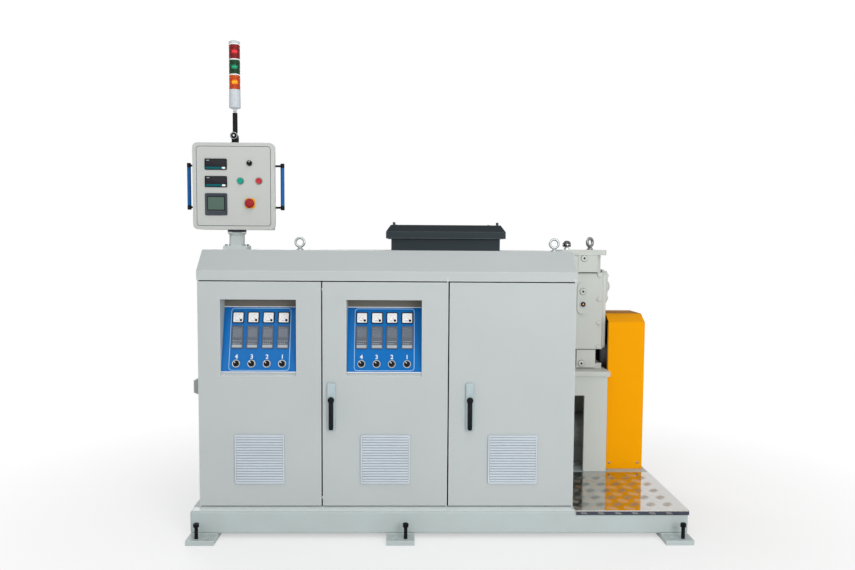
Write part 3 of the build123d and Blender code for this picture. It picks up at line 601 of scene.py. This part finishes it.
# %% Ammeters, controllers and the white line
recess_back, recess_middle = -0.3671, 0.9675
for side in ("left", "middle"):
    piece = Piece("instruments_face_" + side, "door_" + side, on_plate(side))
    piece.raised(rounded(250, 265, 14, 6), [(0, 0), (0, 0.4), (2.2, 0.4), (2.2, 0)], line_blue, (0, plate_length / 2),
                 loop=True)
    # White strips along the plate's lower and upper edges: partly the plate's light edge, partly a painted highlight
    # where the edges catch light.
    for along in (1.4, plate_length - 1.4):
        piece.bar((-154.5, along), (154.5, along), 2.8, 0, 1.2, face_white)
    # A grey-brown strip on the recess's back wall above the plate: painted shade under the opening's top.
    piece.place = spot((front_of("control_plate_" + side)[0][0], recess_back, recess_middle))
    piece.raised(rounded(309, 33, 2), [(0, 0), (0, 1.2)], recess_shade_grey)
    piece.place = on_plate(side)
    for k in range(4):
        across = (k - 1.5) * meter_pitch
        meter = (across, meter_row)
        piece.raised(rounded(48, 48, 5), [(0, 0), (0, 5.5), (1, 6.6), (2.8, 6.6), (3.6, 4.2)], black, meter,
                     caps="base")
        piece.raised(rounded(40.8, 40.8, 3), [(0, 4.2), (0.4, 4.3)], face_white, meter, caps="top")
        pivot = np.array(meter) + (11.5, -11.8)
        for step in range(7):
            turn = radians(95 + 13 * step)
            ray = np.array((cos(turn), sin(turn)))
            piece.bar(pivot + 23.5 * ray, pivot + 26.5 * ray, 0.7, 4.3, 4.6,
                      needle_orange if step == 0 else print_black)
        piece.bar(pivot, pivot + (-10, 12.2), 1.4, 4.6, 5.2, needle_orange)
        piece.bar(pivot + (-21, -0.5), pivot + (-8.5, -0.5), 2.2, 4.3, 4.6, strip_grey)
        piece.raised(circle(5.2, 14), [(0, 4.3), (0, 6.4), (1.2, 7)], black, pivot)
        control = (across, control_row)
        piece.raised(rounded(48, 96, 4), [(0, 0), (0, 5.4), (1.2, 6.6), (3, 6.6), (3.6, 5.6)], controller_grey,
                     control)
        piece.raised(rounded(37, 38, 2), [(0, 5.6), (0.4, 6.2)], screen_grey, (across, control_row + 18))
        piece.raised(rounded(41, 12, 2), [(0, 5.6), (0.4, 6.4)], strip_grey, (across, control_row - 38.5))
        for row, count in ((40, 3), (24.5, 1), (11.5, 1), (-16.5, 5), (-26.5, 4)):
            for n in range(count):
                dot = (across - 15.5 + n * 7.8, control_row + row)
                piece.raised(rounded(4.2, 1.8 if row > 0 else 3.4, 0.6, 1), [(0, 5.6), (0.3, 6.8)], strip_grey, dot,
                             caps="top")
        switch = (across, switch_row)
        piece.raised(circle(16.5, 32), [(0, 0), (0, 3), (1.2, 4.2), (3.2, 4.2)], zinc, switch)
        piece.raised(circle(13.3, 32), [(0, 3), (0, 4.6), (1.2, 5.2)], black, switch)
        piece.raised(circle(11.6, 24), [(0, 4), (0, 10), (1.2, 11.4)], black, switch)
        tip = np.array((-7.2, 7.2))
        piece.bar(switch - tip, switch + tip, 7, 11, 15.8, black)
        piece.bar(switch + tip * 0.15, switch + tip * 1.02, 2.2, 15.6, 16.1, face_white)
        piece.letters(str(4 - k), 25, print_white, (across, number_row), 0.8)
    piece.done("black_plastic", "instruments_" + side, "rotary_switches_" + side)
    looks["control_plate_" + side] = plate_blue

# %% [markdown]
# ## Door handles and latches
# A swing handle is a long plate with a lever that folds flat against it. The lever's round head turns on
# a shaft; both are moulded, so their edges roll over. Seen in the seam between the double doors are the two
# light tongues of the latch.

# %% Levers, plates and latch tongues
softened(handle_grey, "grey_plastic", 1.8, "handle_plate_middle", "handle_plate_right", segments=3)
door_face, head_above_tip = -0.460, 0.124
for side in ("middle", "right"):
    low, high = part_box("handle_lever_" + side)
    place = spot(((low.x + high.x) / 2, door_face, low.z + head_above_tip))
    piece = Piece("lever_" + side, "lever_" + side, place)
    piece.raised(circle(8.8, 24), [(0, 6.6), (0, 18)], steel)
    piece.raised(circle(13.3, 32), [(1, 17), (0, 18), (0, 24)] + dome(6, 3.8, 24) + [(7.2, 27.8), (7.8, 26.8)], black)
    piece.raised(rounded(18.6, 118, 6), [(1.2, 17), (0, 18.2), (0, 22.5), (1.2, 24.6), (4, 25.8)], black, (0, -65))
    piece.done("black_plastic", "handle_lever_" + side)

tongues = Piece("latch_tongues", "door_middle")
for z in (0.160, 1.028):
    tongues.place = spot((-0.491, -0.446, z))
    tongues.raised(rounded(4, 10, 1), [(0, 0), (0, 11), (0.8, 12)], white_plastic)
tongues.done("grey_plastic")

# %% [markdown]
# ## The pendant
# Meters with a dark window, a screen, a green and a red button in steel rings, a selector and an emergency
# stop on its yellow plate. The plate is square outside and round inside: its ring of points keeps each
# point's angle and changes only the radius.

# %% Meters and screen
pend_middle = front_of("pendant_box")[0]
panel = spot(pend_middle)
meters = Piece("pendant_meter_faces", "pendant", panel)
for rise in (94, 19):
    meters.raised(rounded(96, 48, 4), [(0, 0), (0, 3.6), (1, 4.6), (2.6, 4.6), (3.2, 3.6)], black, (-76, rise),
                  caps="base")
    meters.raised(rounded(89.6, 41.6, 3), [(0, 3.6), (0.6, 3.7)], glass_dark, (-76, rise), caps="top")
    meters.raised(rounded(88, 9.6, 2), [(0, 3.6), (0.4, 4.3)], teal, (-76, rise - 15.8))
    meters.raised(rounded(15, 7.8, 3.9, 6), [(0, 4), (0, 4.7), (1, 4.9)], face_white, (-42, rise - 15.8))
    meters.raised(rounded(12, 3.6, 1), [(0, 3.6), (0.2, 4.1)], strip_grey, (-110, rise + 16.5))
meters.raised(rounded(96, 96, 5), [(0, 0), (0, 3.6), (1, 4.8), (6, 4.8), (6.8, 4.2)], dark_plastic, (-76, -79))
# A black rim round the screen: a painted shade border along the screen's edge.
meters.raised(rounded(76, 62, 2), [(0, 4), (0.4, 4.6)], black, (-76, -75))
meters.raised(rounded(70, 55, 2), [(0, 4.4), (0.6, 4.9)], screen_green, (-76, -75))
for n in range(5):
    meters.raised(rounded(7, 3.6, 1), [(0, 4.2), (0.4, 4.9)], smoked, (-102 + n * 13, -116))
meters.raised(rounded(322.5, 345.5, 13, 6), [(0, -3), (0, -0.6), (2.2, -0.6), (2.2, -3)], dark_plastic, loop=True)
meters.done("black_plastic", "pendant_meters")

# %% Buttons and rings
controls = {"start": (29.3, 22.7), "stop": (109.7, 23), "selector": (69.5, 99.6), "emergency": (70.8, -74.3)}
rings = Piece("control_rings", "pendant", panel)
for name, radius, hole in (("start", 16, 13.2), ("stop", 16, 13.2), ("selector", 13.5, 11.3)):
    rings.raised(circle(radius, 32), [(0, 0), (0, 1.8), (1, 2.8), (radius - hole, 2.8), (radius - hole, 0)], steel,
                 controls[name], loop=True)
corners = np.array(rounded(43, 43, 6, 5)(0))
hole = 11.3 * corners / np.hypot(*corners)
rings.raised(lambda ring: ring, [(corners, 0), (corners, 2.4), (corners * 0.97, 3), (hole, 3), (hole, 0)], yellow_cap,
             controls["emergency"], loop=True)
rings.done("chrome", "button_rings")

for name, cap, slot in (("start", green_cap, "green_plastic"), ("stop", red_cap, "red_plastic")):
    button = Piece(name + "_cap", name, panel)
    button.raised(circle(12.8, 32), [(0, -8.5), (0, 7.5), (0.6, 8.6), (2.2, 9), (4, 8.4), (8, 8.2)], cap,
                  controls[name])
    button.done(slot, name + "_button")

knob = Piece("selector_handle", "selector", panel)
knob.raised(circle(10.9, 28), [(0, -8.5), (0, 9.2), (1, 10.2)], black, controls["selector"])
u, v = controls["selector"]
knob.bar((u - 4, v - 9), (u + 4, v + 9), 6.6, 9.8, 16.6, black)
knob.bar((u + 0.8, v + 1.8), (u + 3.8, v + 8.4), 1.8, 16.2, 16.9, face_white)
knob.done("black_plastic", "selector_knob")

mushroom = Piece("emergency_head", "emergency", panel)
mushroom.raised(circle(11, 28), [(0, -8.5), (0, 11.2)], black, controls["emergency"])
mushroom.raised(circle(20.5, 40), [(4, 10.1), (0.6, 10.8), (0, 12.5)] + dome(16.5, 11.2, 12.5, 8) + [(18.5, 23.8)],
                palm_red, controls["emergency"])
mushroom.done("red_plastic", "emergency_stop")

# %% [markdown]
# ## Grip tubes
# A blue tube on each side of the pendant, closed by two black caps. A short stub runs from each cap to the box.
# All of them are one round section carried along a straight path, with its own width at each point.

# %% Grips
grip_low, grip_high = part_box("pendant_grips")
grip_y = (grip_low.y + grip_high.y) / 2
grips = Piece("grip_tubes", "pendant")
for side in (-1, 1):
    grip_x = pend_middle[0] + side * 0.205
    low, high = grip_low.z, grip_high.z
    grips.tube([(grip_x, grip_y, z) for z in np.linspace(low + 0.012, high - 0.012, 5)], 0.0086, tube_blue, 24)
    for z, way in ((low, 1), (high, -1)):
        heights = np.array([0, 0.0012, 0.0150, 0.0185, 0.0190]) * way + z
        cap = [(grip_x, grip_y, h) for h in heights]
        grips.tube(cap, (0.0078, 0.0089, 0.0089, 0.0089, 0.0087), black, 24)
        stub = [(grip_x - side * reach, grip_y, z + way * 0.011) for reach in (0, 0.0400, 0.0405, 0.0468)]
        grips.tube(stub, (0.0046, 0.0046, 0.0068, 0.0068), black, 16)
grips.done("blue_tube", "pendant_grips")

# %% [markdown]
# ## The signal tower
# Everything on the tower is turned: a profile of radius against height, carried once round the axis. Fine
# ribs on the lenses break up the light as the moulded prisms of real ones do. A glowing core inside each lens
# is a painted highlight, and the white spacer ring on top is painted white partly for the highlight at its edge.

# %% Lenses, body and stem
tower_low, tower_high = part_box("tower_body")
axis_x, axis_y = (tower_low.x + tower_high.x) / 2, (tower_low.y + tower_high.y) / 2


def turned(piece, z, profile, finish, sides=36, caps="top base"):
    """A profile of (radius, height above z) carried round the tower's axis."""
    piece.place = spot((axis_x, axis_y, z), up=(0, 1, 0))
    piece.raised(circle(25, sides), [(25 - r, h) for r, h in profile], finish, caps=caps)


lamps = {"lamp_amber": lens_amber, "lamp_green": lens_green, "lamp_red": lens_red}
for name, lens in lamps.items():
    low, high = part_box(name)
    lamp = Piece(name + "_lens", "tower")
    heights = np.linspace(4, 56, 27)
    ribs = [(24.6 - 0.7 * (n % 2), h) for n, h in enumerate(heights)]
    turned(lamp, low.z, [(22.5, 0), (24.7, 0.8), (24.7, 3)] + ribs + [(24.7, 57.2), (24.7, 59.2), (23.5, 60.4)], lens)
    # A glowing core inside the lens: a painted highlight for the light reflected in the lens's middle.
    turned(lamp, low.z, [(3, 27), (8.5, 29), (8.5, 36), (3, 38)], bulb_glow_highlight, 20)
    # A white spacer ring on top: a real spacer, painted white partly for the highlight arc at the lens's edge.
    turned(lamp, low.z, [(23.2, 60), (23.2, 65.5)], face_white, caps="base")
    lamp.done(name, name)

tower = Piece("tower_shell", "tower")
turned(tower, tower_low.z, [(21.5, 0), (24, 1.2), (24.9, 4), (24.9, 52), (24.3, 52.6), (24.3, 53.6), (24.9, 54.2),
       (24.9, 78.5), (23.2, 80.8)], white_plastic)
turned(tower, tower_high.z - 0.013, [(23.2, 0), (24.9, 1), (24.9, 7), (23.8, 10.2), (20.5, 12.2), (12, 12.9)],
       white_plastic)
stem_low, stem_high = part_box("tower_stem")
pivot_z = stem_low.z + 0.012
turned(tower, stem_high.z - 0.016, [(8, 0), (9.2, 1), (7.8, 4), (7.8, 10), (11.8, 12.5), (11.8, 15.8)], white_plastic,
       28)
turned(tower, pivot_z, [(8.5, 0), (10.5, 2), (10.5, 12), (9.5, 13), (9.5, 16), (10.8, 17), (10.8, 100), (9.6, 102)],
       black, 28)
tower.place = spot((axis_x, axis_y + 0.013, pivot_z))
tower.raised(circle(12, 28), [(1, 0), (0, 1), (0, 25), (1, 26)], black)
tower.done("grey_plastic", "tower_stem", "tower_body")

pivot_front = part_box("tower_bracket")[0].y
pivot = Piece("pivot_ring", "pendant", spot((axis_x + 0.001, pivot_front, pivot_z)))
pivot.raised(circle(15.2, 32), [(0, -2), (0, 1), (0.8, 1.6), (1.8, 1.6), (2.2, 0.4)], zinc)
pivot.raised(circle(12.8, 28), [(0, 0), (0, 2.4), (1, 3)], black)
pivot.raised(circle(5.2, 6), [(0, 2.8), (0, 6), (1, 6.8)], zinc)
pivot.done("zinc")

# %% [markdown]
# ## Screws, eyes and fittings
# Lifting eyes are closed rings on a collar. The levelling screws and the gearbox plugs have a hexagon
# socket: between the round head and the socket's six sides lies one ring of faces, each point of which
# keeps its angle. The thread is a stack of small rings, enough for the eye at this size.


# %% Sockets, hexagons and eyes
def socket_head(piece, radius, low, high, hexagon, depth, finish, middle=(0, 0)):
    """A round head with a six-sided hole: the hole's radius is apothem / cos(angle from the flat's middle)."""
    angle = np.arange(24) * pi / 12
    flat = hexagon / np.cos((angle + pi / 6) % (pi / 3) - pi / 6)
    steps = [(radius * 0.94, low), (radius, low + 1), (radius, high - 1.5), (radius - 1.2, high), (flat, high),
             (flat * 0.98, high - depth)]
    piece.raised(lambda reach: (reach * np.cos(angle), reach * np.sin(angle)), steps, finish, middle)


def hexagon_head(piece, size, height, finish, middle=(0, 0)):
    """A bolt head on its washer."""
    piece.raised(circle(size * 1.25, 20), [(0, 0), (0, 1.2), (0.4, 1.6)], finish, middle)
    piece.raised(circle(size, 6, pi / 6), [(0, 1.4), (0, height * 0.85), (size * 0.12, height)], finish, middle)


def lifting_eye(piece, x, y, z, ring, wire, heading, finish, raise_by=0):
    """A collar, a short neck and a closed ring that stands in the plane of its heading; ring and wire in mm."""
    piece.place = spot((x, y, z), up=(0, 1, 0))
    piece.raised(circle(ring * 0.8, 28), [(0, 0), (0, wire * 0.7), (ring * 0.12, wire), (ring * 0.30, wire * 1.3),
                 (ring * 0.44, wire * 1.6 + raise_by)], finish)
    turn = np.arange(36) * pi / 18
    path = piece.place(ring * np.cos(turn) * cos(heading), ring * np.cos(turn) * sin(heading),
                       raise_by + wire * 2 + ring + ring * np.sin(turn))
    piece.tube(path, wire * 0.92 * MM, finish, 14, loop=True)


eyes = Piece("lifting_rings", "machine")
cover_top, gear_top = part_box("cover")[1].z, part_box("gearbox_top")[1].z
gear_y = 0.2475
for x in (-0.604, 0.492):
    lifting_eye(eyes, x, -0.270, cover_top, 18.5, 5.8, 0, zinc, 3)
lifting_eye(eyes, 0.760, gear_y, gear_top, 19.5, 8.5, radians(38), steel)
eyes.done("zinc", "lifting_eyes")

# %% Levelling screws
screws = Piece("levelling_screws", "machine")
for x in (-0.991, -0.144, 0.991):
    for y in (-0.556, 0.556):
        screws.place = spot((x, y, 0.020), up=(0, 1, 0))
        threads = [(0.7 * (n % 2), 0.6 + 1.2 * n) for n in range(40)]
        screws.raised(circle(7.8, 20), threads, black_steel)
        socket_head(screws, 11.9, 48, 63.8, 6, 8, black_steel)
screws.done("zinc", "jack_screws")

# %% [markdown]
# ## Gearbox fittings
# On the raised pad sit a socket plug and a brass fitting; more plugs close the lugs above and below. The
# bearing cover has six screws round it, a side plate has six bolts, the foot is bolted down, and a breather cap
# lets the oil space breathe.

# %% Plugs, bolts and breather
gear = Piece("gearbox_fittings", "machine")
case_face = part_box("gearbox_body")[0].y
case_y, bearing_z, foot_top = 0.2975, 1.011, 0.636
for x, z in ((0.715, 0.990), (0.718, 1.152), (0.713, 0.637)):
    gear.place = spot((x, case_face, z))
    # A darker ring round each plug is painted shade for its groove; the black disc at the socket's bottom is painted
    # shade in the hole.
    gear.raised(circle(16.8, 28), [(0, 0), (0, 1), (0.6, 1.4)], motor_paint)
    socket_head(gear, 15, 0.8, 6.8, 5.2, 5, gear_paint)
    gear.raised(circle(6.2, 18), [(0, 1.6), (1, 2)], black_steel, caps="top")
gear.place = spot((0.716, case_face, 0.928))
# A white hex nut under the brass fitting: a painted reflection standing for a shiny metal nut.
gear.raised(circle(17.5, 6), [(0, 0), (0, 3), (1.2, 4)], white_plastic)
gear.raised(circle(12, 28), [(0, 3), (0, 6), (1.2, 7)], black_steel)
gear.raised(circle(4.6, 20), [(0, 6.8), (0, 9), (1.2, 10)], brass)
gear.place = spot((0, case_face + 0.007, 0))
for z in (719, 836, 953, 1070):
    gear.raised(circle(10.8, 28), [(0, 0), (0, 5), (1.6, 6.2), (6, 6.6)], gear_paint, (795.5, z))
gear.raised(rounded(50, 90, 4), [(0, -30), (0, 3), (1.5, 4.5)], gear_paint, (666, 1122.5))
gear.place = spot((0, case_face, 0))
# Two near-black strips along the gearbox case: painted shade for the gaps at its lugs.
for x, z, wide, high in ((736.5, 1082, 94, 4.2), (736, 705.5, 92, 3)):
    gear.raised(rounded(wide, high, 1), [(0, -4), (0, 0.6)], seam_shade_black, (x, z))
gear.place = spot((0, 0, foot_top), up=(0, 1, 0))
for x, y in ((650, 215), (800, 215), (650, 400), (800, 400)):
    hexagon_head(gear, 11, 9.5, zinc, (x, y))
gear.place = spot((0.8185, case_y, 0.8945), (0, 1, 0))
gear.raised(rounded(212, 372, 20), [(0, 0), (0, 11), (3, 14)], gear_paint)
for z in (-165, -80, 5):
    for y in (-90, 90):
        hexagon_head(gear, 6.5, 5, gear_paint, (y, z))
gear.place = spot((0.8320, case_y, bearing_z), (0, 1, 0))
gear.raised(rounded(172, 156, 26), [(0, -2), (0, 10), (3, 13)], gear_paint)
gear.raised(circle(48, 40), [(0, 12.5), (0, 16.5), (2, 18.5)], gear_paint)
gear.raised(circle(26.5, 32), [(0, 18), (0, 32), (2.5, 34.5), (10.5, 35), (10.5, 38.5), (12, 40)], gear_paint)
gear.place = spot((0.8450, case_y, bearing_z), (0, 1, 0))
for across, along in ((-64, -56), (64, -56), (-64, 56), (64, 56), (0, -64), (0, 64)):
    hexagon_head(gear, 7.5, 7, gear_paint, (across, along))
gear.done("chrome", "gearbox_plugs")

seals = Piece("shaft_seals", "machine")
plate_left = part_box("guard_back")[0].x
for z in (0.279, 0.760):
    seals.place = spot((plate_left, case_y, z), (0, -1, 0))
    seals.raised(circle(40, 32), [(0, 0), (0, 4), (2, 6), (16, 6), (16, 0)], black, loop=True)
for x, y, wide, low in ((0.8392, 0.4048, 5.2, -24), (0.8464, 0.4271, 10.4, -0.8)):
    seals.place = spot((x, y, 0.4975))
    seals.raised(rounded(wide, 748, 1), [(0, low), (0, 0), (0.6, 0.6)], black)
seals.done("black_plastic")

breather = Piece("breather_cap", "machine", spot((0.645, gear_y, gear_top), up=(0, 1, 0)))
breather.raised(circle(13.5, 6), [(0, 0), (0, 10), (1, 11)], zinc)
breather.raised(circle(8.5, 20), [(0, 10.5), (0, 15)], zinc)
breather.raised(circle(20.8, 36), [(2, 14), (0, 16), (0, 24), (0.8, 24.6), (0.8, 26.2), (0, 26.8)]
                + dome(17, 17.8, 26.8, 8) + [(18.5, 44.8)], breather_black)
breather.raised(circle(21.2, 36), [(0.6, 24.4), (0, 24.8), (0, 26), (0.6, 26.4)], chrome, caps="")
breather.done("chrome", "gearbox_breather")

# %% Small bolts on the pendant's post and the guard
bolts = Piece("small_bolts", "machine")
post_low, post_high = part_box("pendant_post")
flange_top, guard_screw_z = 1.203, 0.150
bolts.place = spot((pend_middle[0], (post_low.y + post_high.y) / 2, flange_top), up=(0, 1, 0))
for x in (-40, 40):
    for y in (-40, 40):
        socket_head(bolts, 6.5, 0, 7.5, 2.8, 3, zinc, (x, y))
guard_low, guard_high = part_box("belt_guard")
for x in (guard_low.x + 0.016, guard_high.x - 0.022):
    bolts.place = spot((x, guard_low.y, guard_screw_z))
    bolts.raised(circle(6, 20), [(0, 0), (0, 0.8), (0.6, 1.2)], steel)
    bolts.raised(circle(4.4, 18), [(0, 1)] + dome(4, 2.4, 1.8, 4), steel)
bolts.done("zinc")

# %% [markdown]
# ## The five-bar tread
# Rolled tread plate carries groups of five raised bars. The groups stand in a quilt: rows of one slant, and
# between them, shifted by half a pitch, rows of the other. The photo shows the quilt longer from front to rear
# than across, hence the stretch. One bar is three rings of eight points, a low mound.

# %% Raised bars of the tread plate
tread_low, tread_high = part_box("tread_plate")
tread_pitch, stretch, slant = 0.0710, 1.42, 0.90
bar_gap, bar_half, half_lengths = 0.0092, 0.0015, (0.0180, 0.0200, 0.0215, 0.0200, 0.0180)
middle, width, height = front_of("tread_plate")
tread = Piece("tread_bars", "machine", spot(middle))
tread.raised(rounded(width - 2, height - 4.5, 1), [(0, -1), (0, 0.3)], shaded_aluminium, (0, -1.8))
for n in range(4 * int((width - 10) * MM / tread_pitch)):
    x = 34 - width / 2 + n // 4 * tread_pitch / MM + (n % 4 - 1.5) * 6.2
    tread.bar((x + 5, -5.5), (x - 5, 3.5), 1.5, 0.2, 0.8, aluminium)
angle = np.arange(8) * pi / 4
shrink, lift = np.array([[1.0, 0.72, 0.25], [0.0, 0.0008, 0.0013]])[:, :, None]
columns = np.arange(tread_low.x + 0.016, tread_high.x - 0.020, tread_pitch / 2)
for row, y in enumerate(np.arange(tread_low.y + 0.030, tread_high.y - 0.028, tread_pitch * stretch / 2)):
    turn = -slant if row % 2 else slant
    for x in columns[row % 2::2]:
        for n, half_length in enumerate(half_lengths):
            along = half_length * shrink * np.cos(angle)
            across = (n - 2) * bar_gap + bar_half * shrink * np.sin(angle)
            mound = np.broadcast_arrays(x + along * cos(turn) - across * sin(turn),
                                        y + (along * sin(turn) + across * cos(turn)) * stretch,
                                        tread_high.z - 0.0001 + lift)
            tread.surface(np.stack(mound, -1), aluminium, caps="top")
tread.done("aluminium", sharp=70)
softened(aluminium, "aluminium", 0.8, "tread_plate")

# %% [markdown]
# ## Welds and rear panels
# The foot plates are welded to the rails: a bead is a tube whose width ripples where the welder paused. The
# back of such a cabinet is closed by two removable panels with a dozen pressed louvres each and quarter-turn
# locks. Nobody sees them in the photograph, so they are kept plain.

# %% Weld beads
welds = Piece("weld_beads", "machine")
for x in (-0.9725, -0.165, 0.9725):
    for side in (-1, 1):
        run = np.linspace(-0.056, 0.056, 46)
        path = np.stack([x + run, np.full(46, side * 0.5005), np.full(46, 0.0205)], -1)
        ripple = 0.0034 + 0.0005 * np.sin(np.arange(46) * 2.1) + 0.0003 * np.sin(np.arange(46) * 0.37 + x * 9)
        ripple[[0, -1]] = 0.0012
        welds.tube(path, ripple, frame_paint, 10)
welds.done("grey_paint")

# %% Rear panels with louvres and locks
rear = Piece("rear_panels", "machine", spot((0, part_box("cabinet_back")[1].y, 0), (-1, 0, 0)))
for x in (-612, 167):
    rear.raised(rounded(745, 880, 6), [(0, 0), (0, 1.8), (0.8, 2.6), (10, 2.6)], cabinet_paint, (-x, 592))
    for n in range(12):
        rear.raised(rounded(300, 15, 7, 5), [(0, 2.4), (1, 5), (3.5, 5.6)], cabinet_paint, (-x, 260 + n * 22))
    for dx in (-345, 345):
        for z in (200, 984):
            rear.raised(circle(12.5, 24), [(0, 2.5), (0, 4.2), (0.8, 5)], zinc, (dx - x, z))
            rear.bar((dx - x - 8, z), (dx - x + 8, z), 2.2, 4.9, 5.3, black_steel)
rear.done("grey_paint")

# %% [markdown]
# ## Finishes of the solids that stay
# The solids that need no rounding only get a finish in their own material slot.

# %% Material slots of the frame
# The cabinet's headers and posts are near-black: painted shade that darkens the seams between the doors.
looks.update(base_crossbars=frame_paint, bed_plate=frame_paint, cabinet_floor=frame_paint, cabinet_headers=seam_shade_black,
             # guard_back is black: painted shade for the dark gap behind the guard's left edge.
             cabinet_posts=seam_shade_black, cabinet_back=inner_paint, guard_back=black, mounting_panel=zinc,
             drive_motor=motor_paint, belt_drive=black, pendant_collar=dark_plastic)
for name, finish in looks.items():
    solids[name].data.materials.clear()
    solids[name].data.materials.append(finish)
print("solids with a finish:", len(looks))

# %% [markdown]
# ## Floor and light
# The floor is pale and fades into the white of the world, so no horizon shows, yet it still takes the
# machine's shadow. Two large soft lamps stand in front, a weaker one over the top, and one lights the back;
# with the world they add up to about one, so that a colour renders as it is written.

# %% Floor
reach = 30.0
floor_mesh = bpy.data.meshes.new("floor")
floor_mesh.from_pydata([(-reach, -reach, 0), (reach, -reach, 0), (reach, reach, 0), (-reach, reach, 0)], [],
                       [(0, 1, 2, 3)])
floor = standing("floor", floor_mesh)
floor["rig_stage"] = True
ground = Finish("ground", Base_Color=(0.94, 0.94, 0.94, 1), Roughness=0.9)
away = ground.node("VectorMath", {0: ground.place}, "Value", operation="LENGTH")
fade = (away.above(1.0, 2.4) * 0.5 + 0.5) * ground.seen_by("Camera", "Glossy")
glow = ground.node("Emission", {})
blend = ground.node("MixShader", {0: fade, 1: Flow(ground, ground.shader.outputs[0]), 2: glow})
ground.tree.links.new(blend.socket, ground.tree.nodes["Material Output"].inputs[0])
floor_mesh.materials.append(ground.material)

# %% World and lamps
world = bpy.data.worlds.new("studio")
scene.world = world
world.use_nodes = True
sky = Nodes(world.node_tree)
soft, white = (sky.node("Background", {"Color": (1, 1, 1, 1), "Strength": v}) for v in (0.40, 1.0))
choose = sky.node("MixShader", {0: sky.seen_by("Camera", "Glossy", "Transmission"), 1: soft, 2: white})
sky.tree.nodes.remove(sky.tree.nodes["Background"])
sky.tree.links.new(choose.socket, sky.tree.nodes["World Output"].inputs["Surface"])

for name, place, aim, size, power in (
        ("key_lamp", (-1.8, -4.9, 3.0), (-0.4, -0.4, 0.8), 2.2, 40),
        ("front_lamp", (2.0, -4.9, 2.0), (0.4, 0.0, 0.7), 2.2, 92),
        ("top_lamp", (0.2, -2.2, 4.4), (0.2, -0.2, 0.2), 2.6, 34),
        ("back_lamp", (-1.8, 4.6, 3.6), (0.0, 0.4, 0.8), 2.4, 80)):
    lamp = standing(name, bpy.data.lights.new(name, "AREA"))
    lamp.data.shape, lamp.data.size, lamp.data.energy = "SQUARE", size, power
    lamp.location = place
    lamp.rotation_euler = (Vector(aim) - Vector(place)).to_track_quat("-Z", "Y").to_euler()
print("lamps:", len(bpy.data.lights))

# %% [markdown]
# ## Sizes
# The box of the dressed machine is measured over every shown object but the stage: dressing must not
# make the machine any larger.

# %% Measure the box of the dressed machine
low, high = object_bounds()
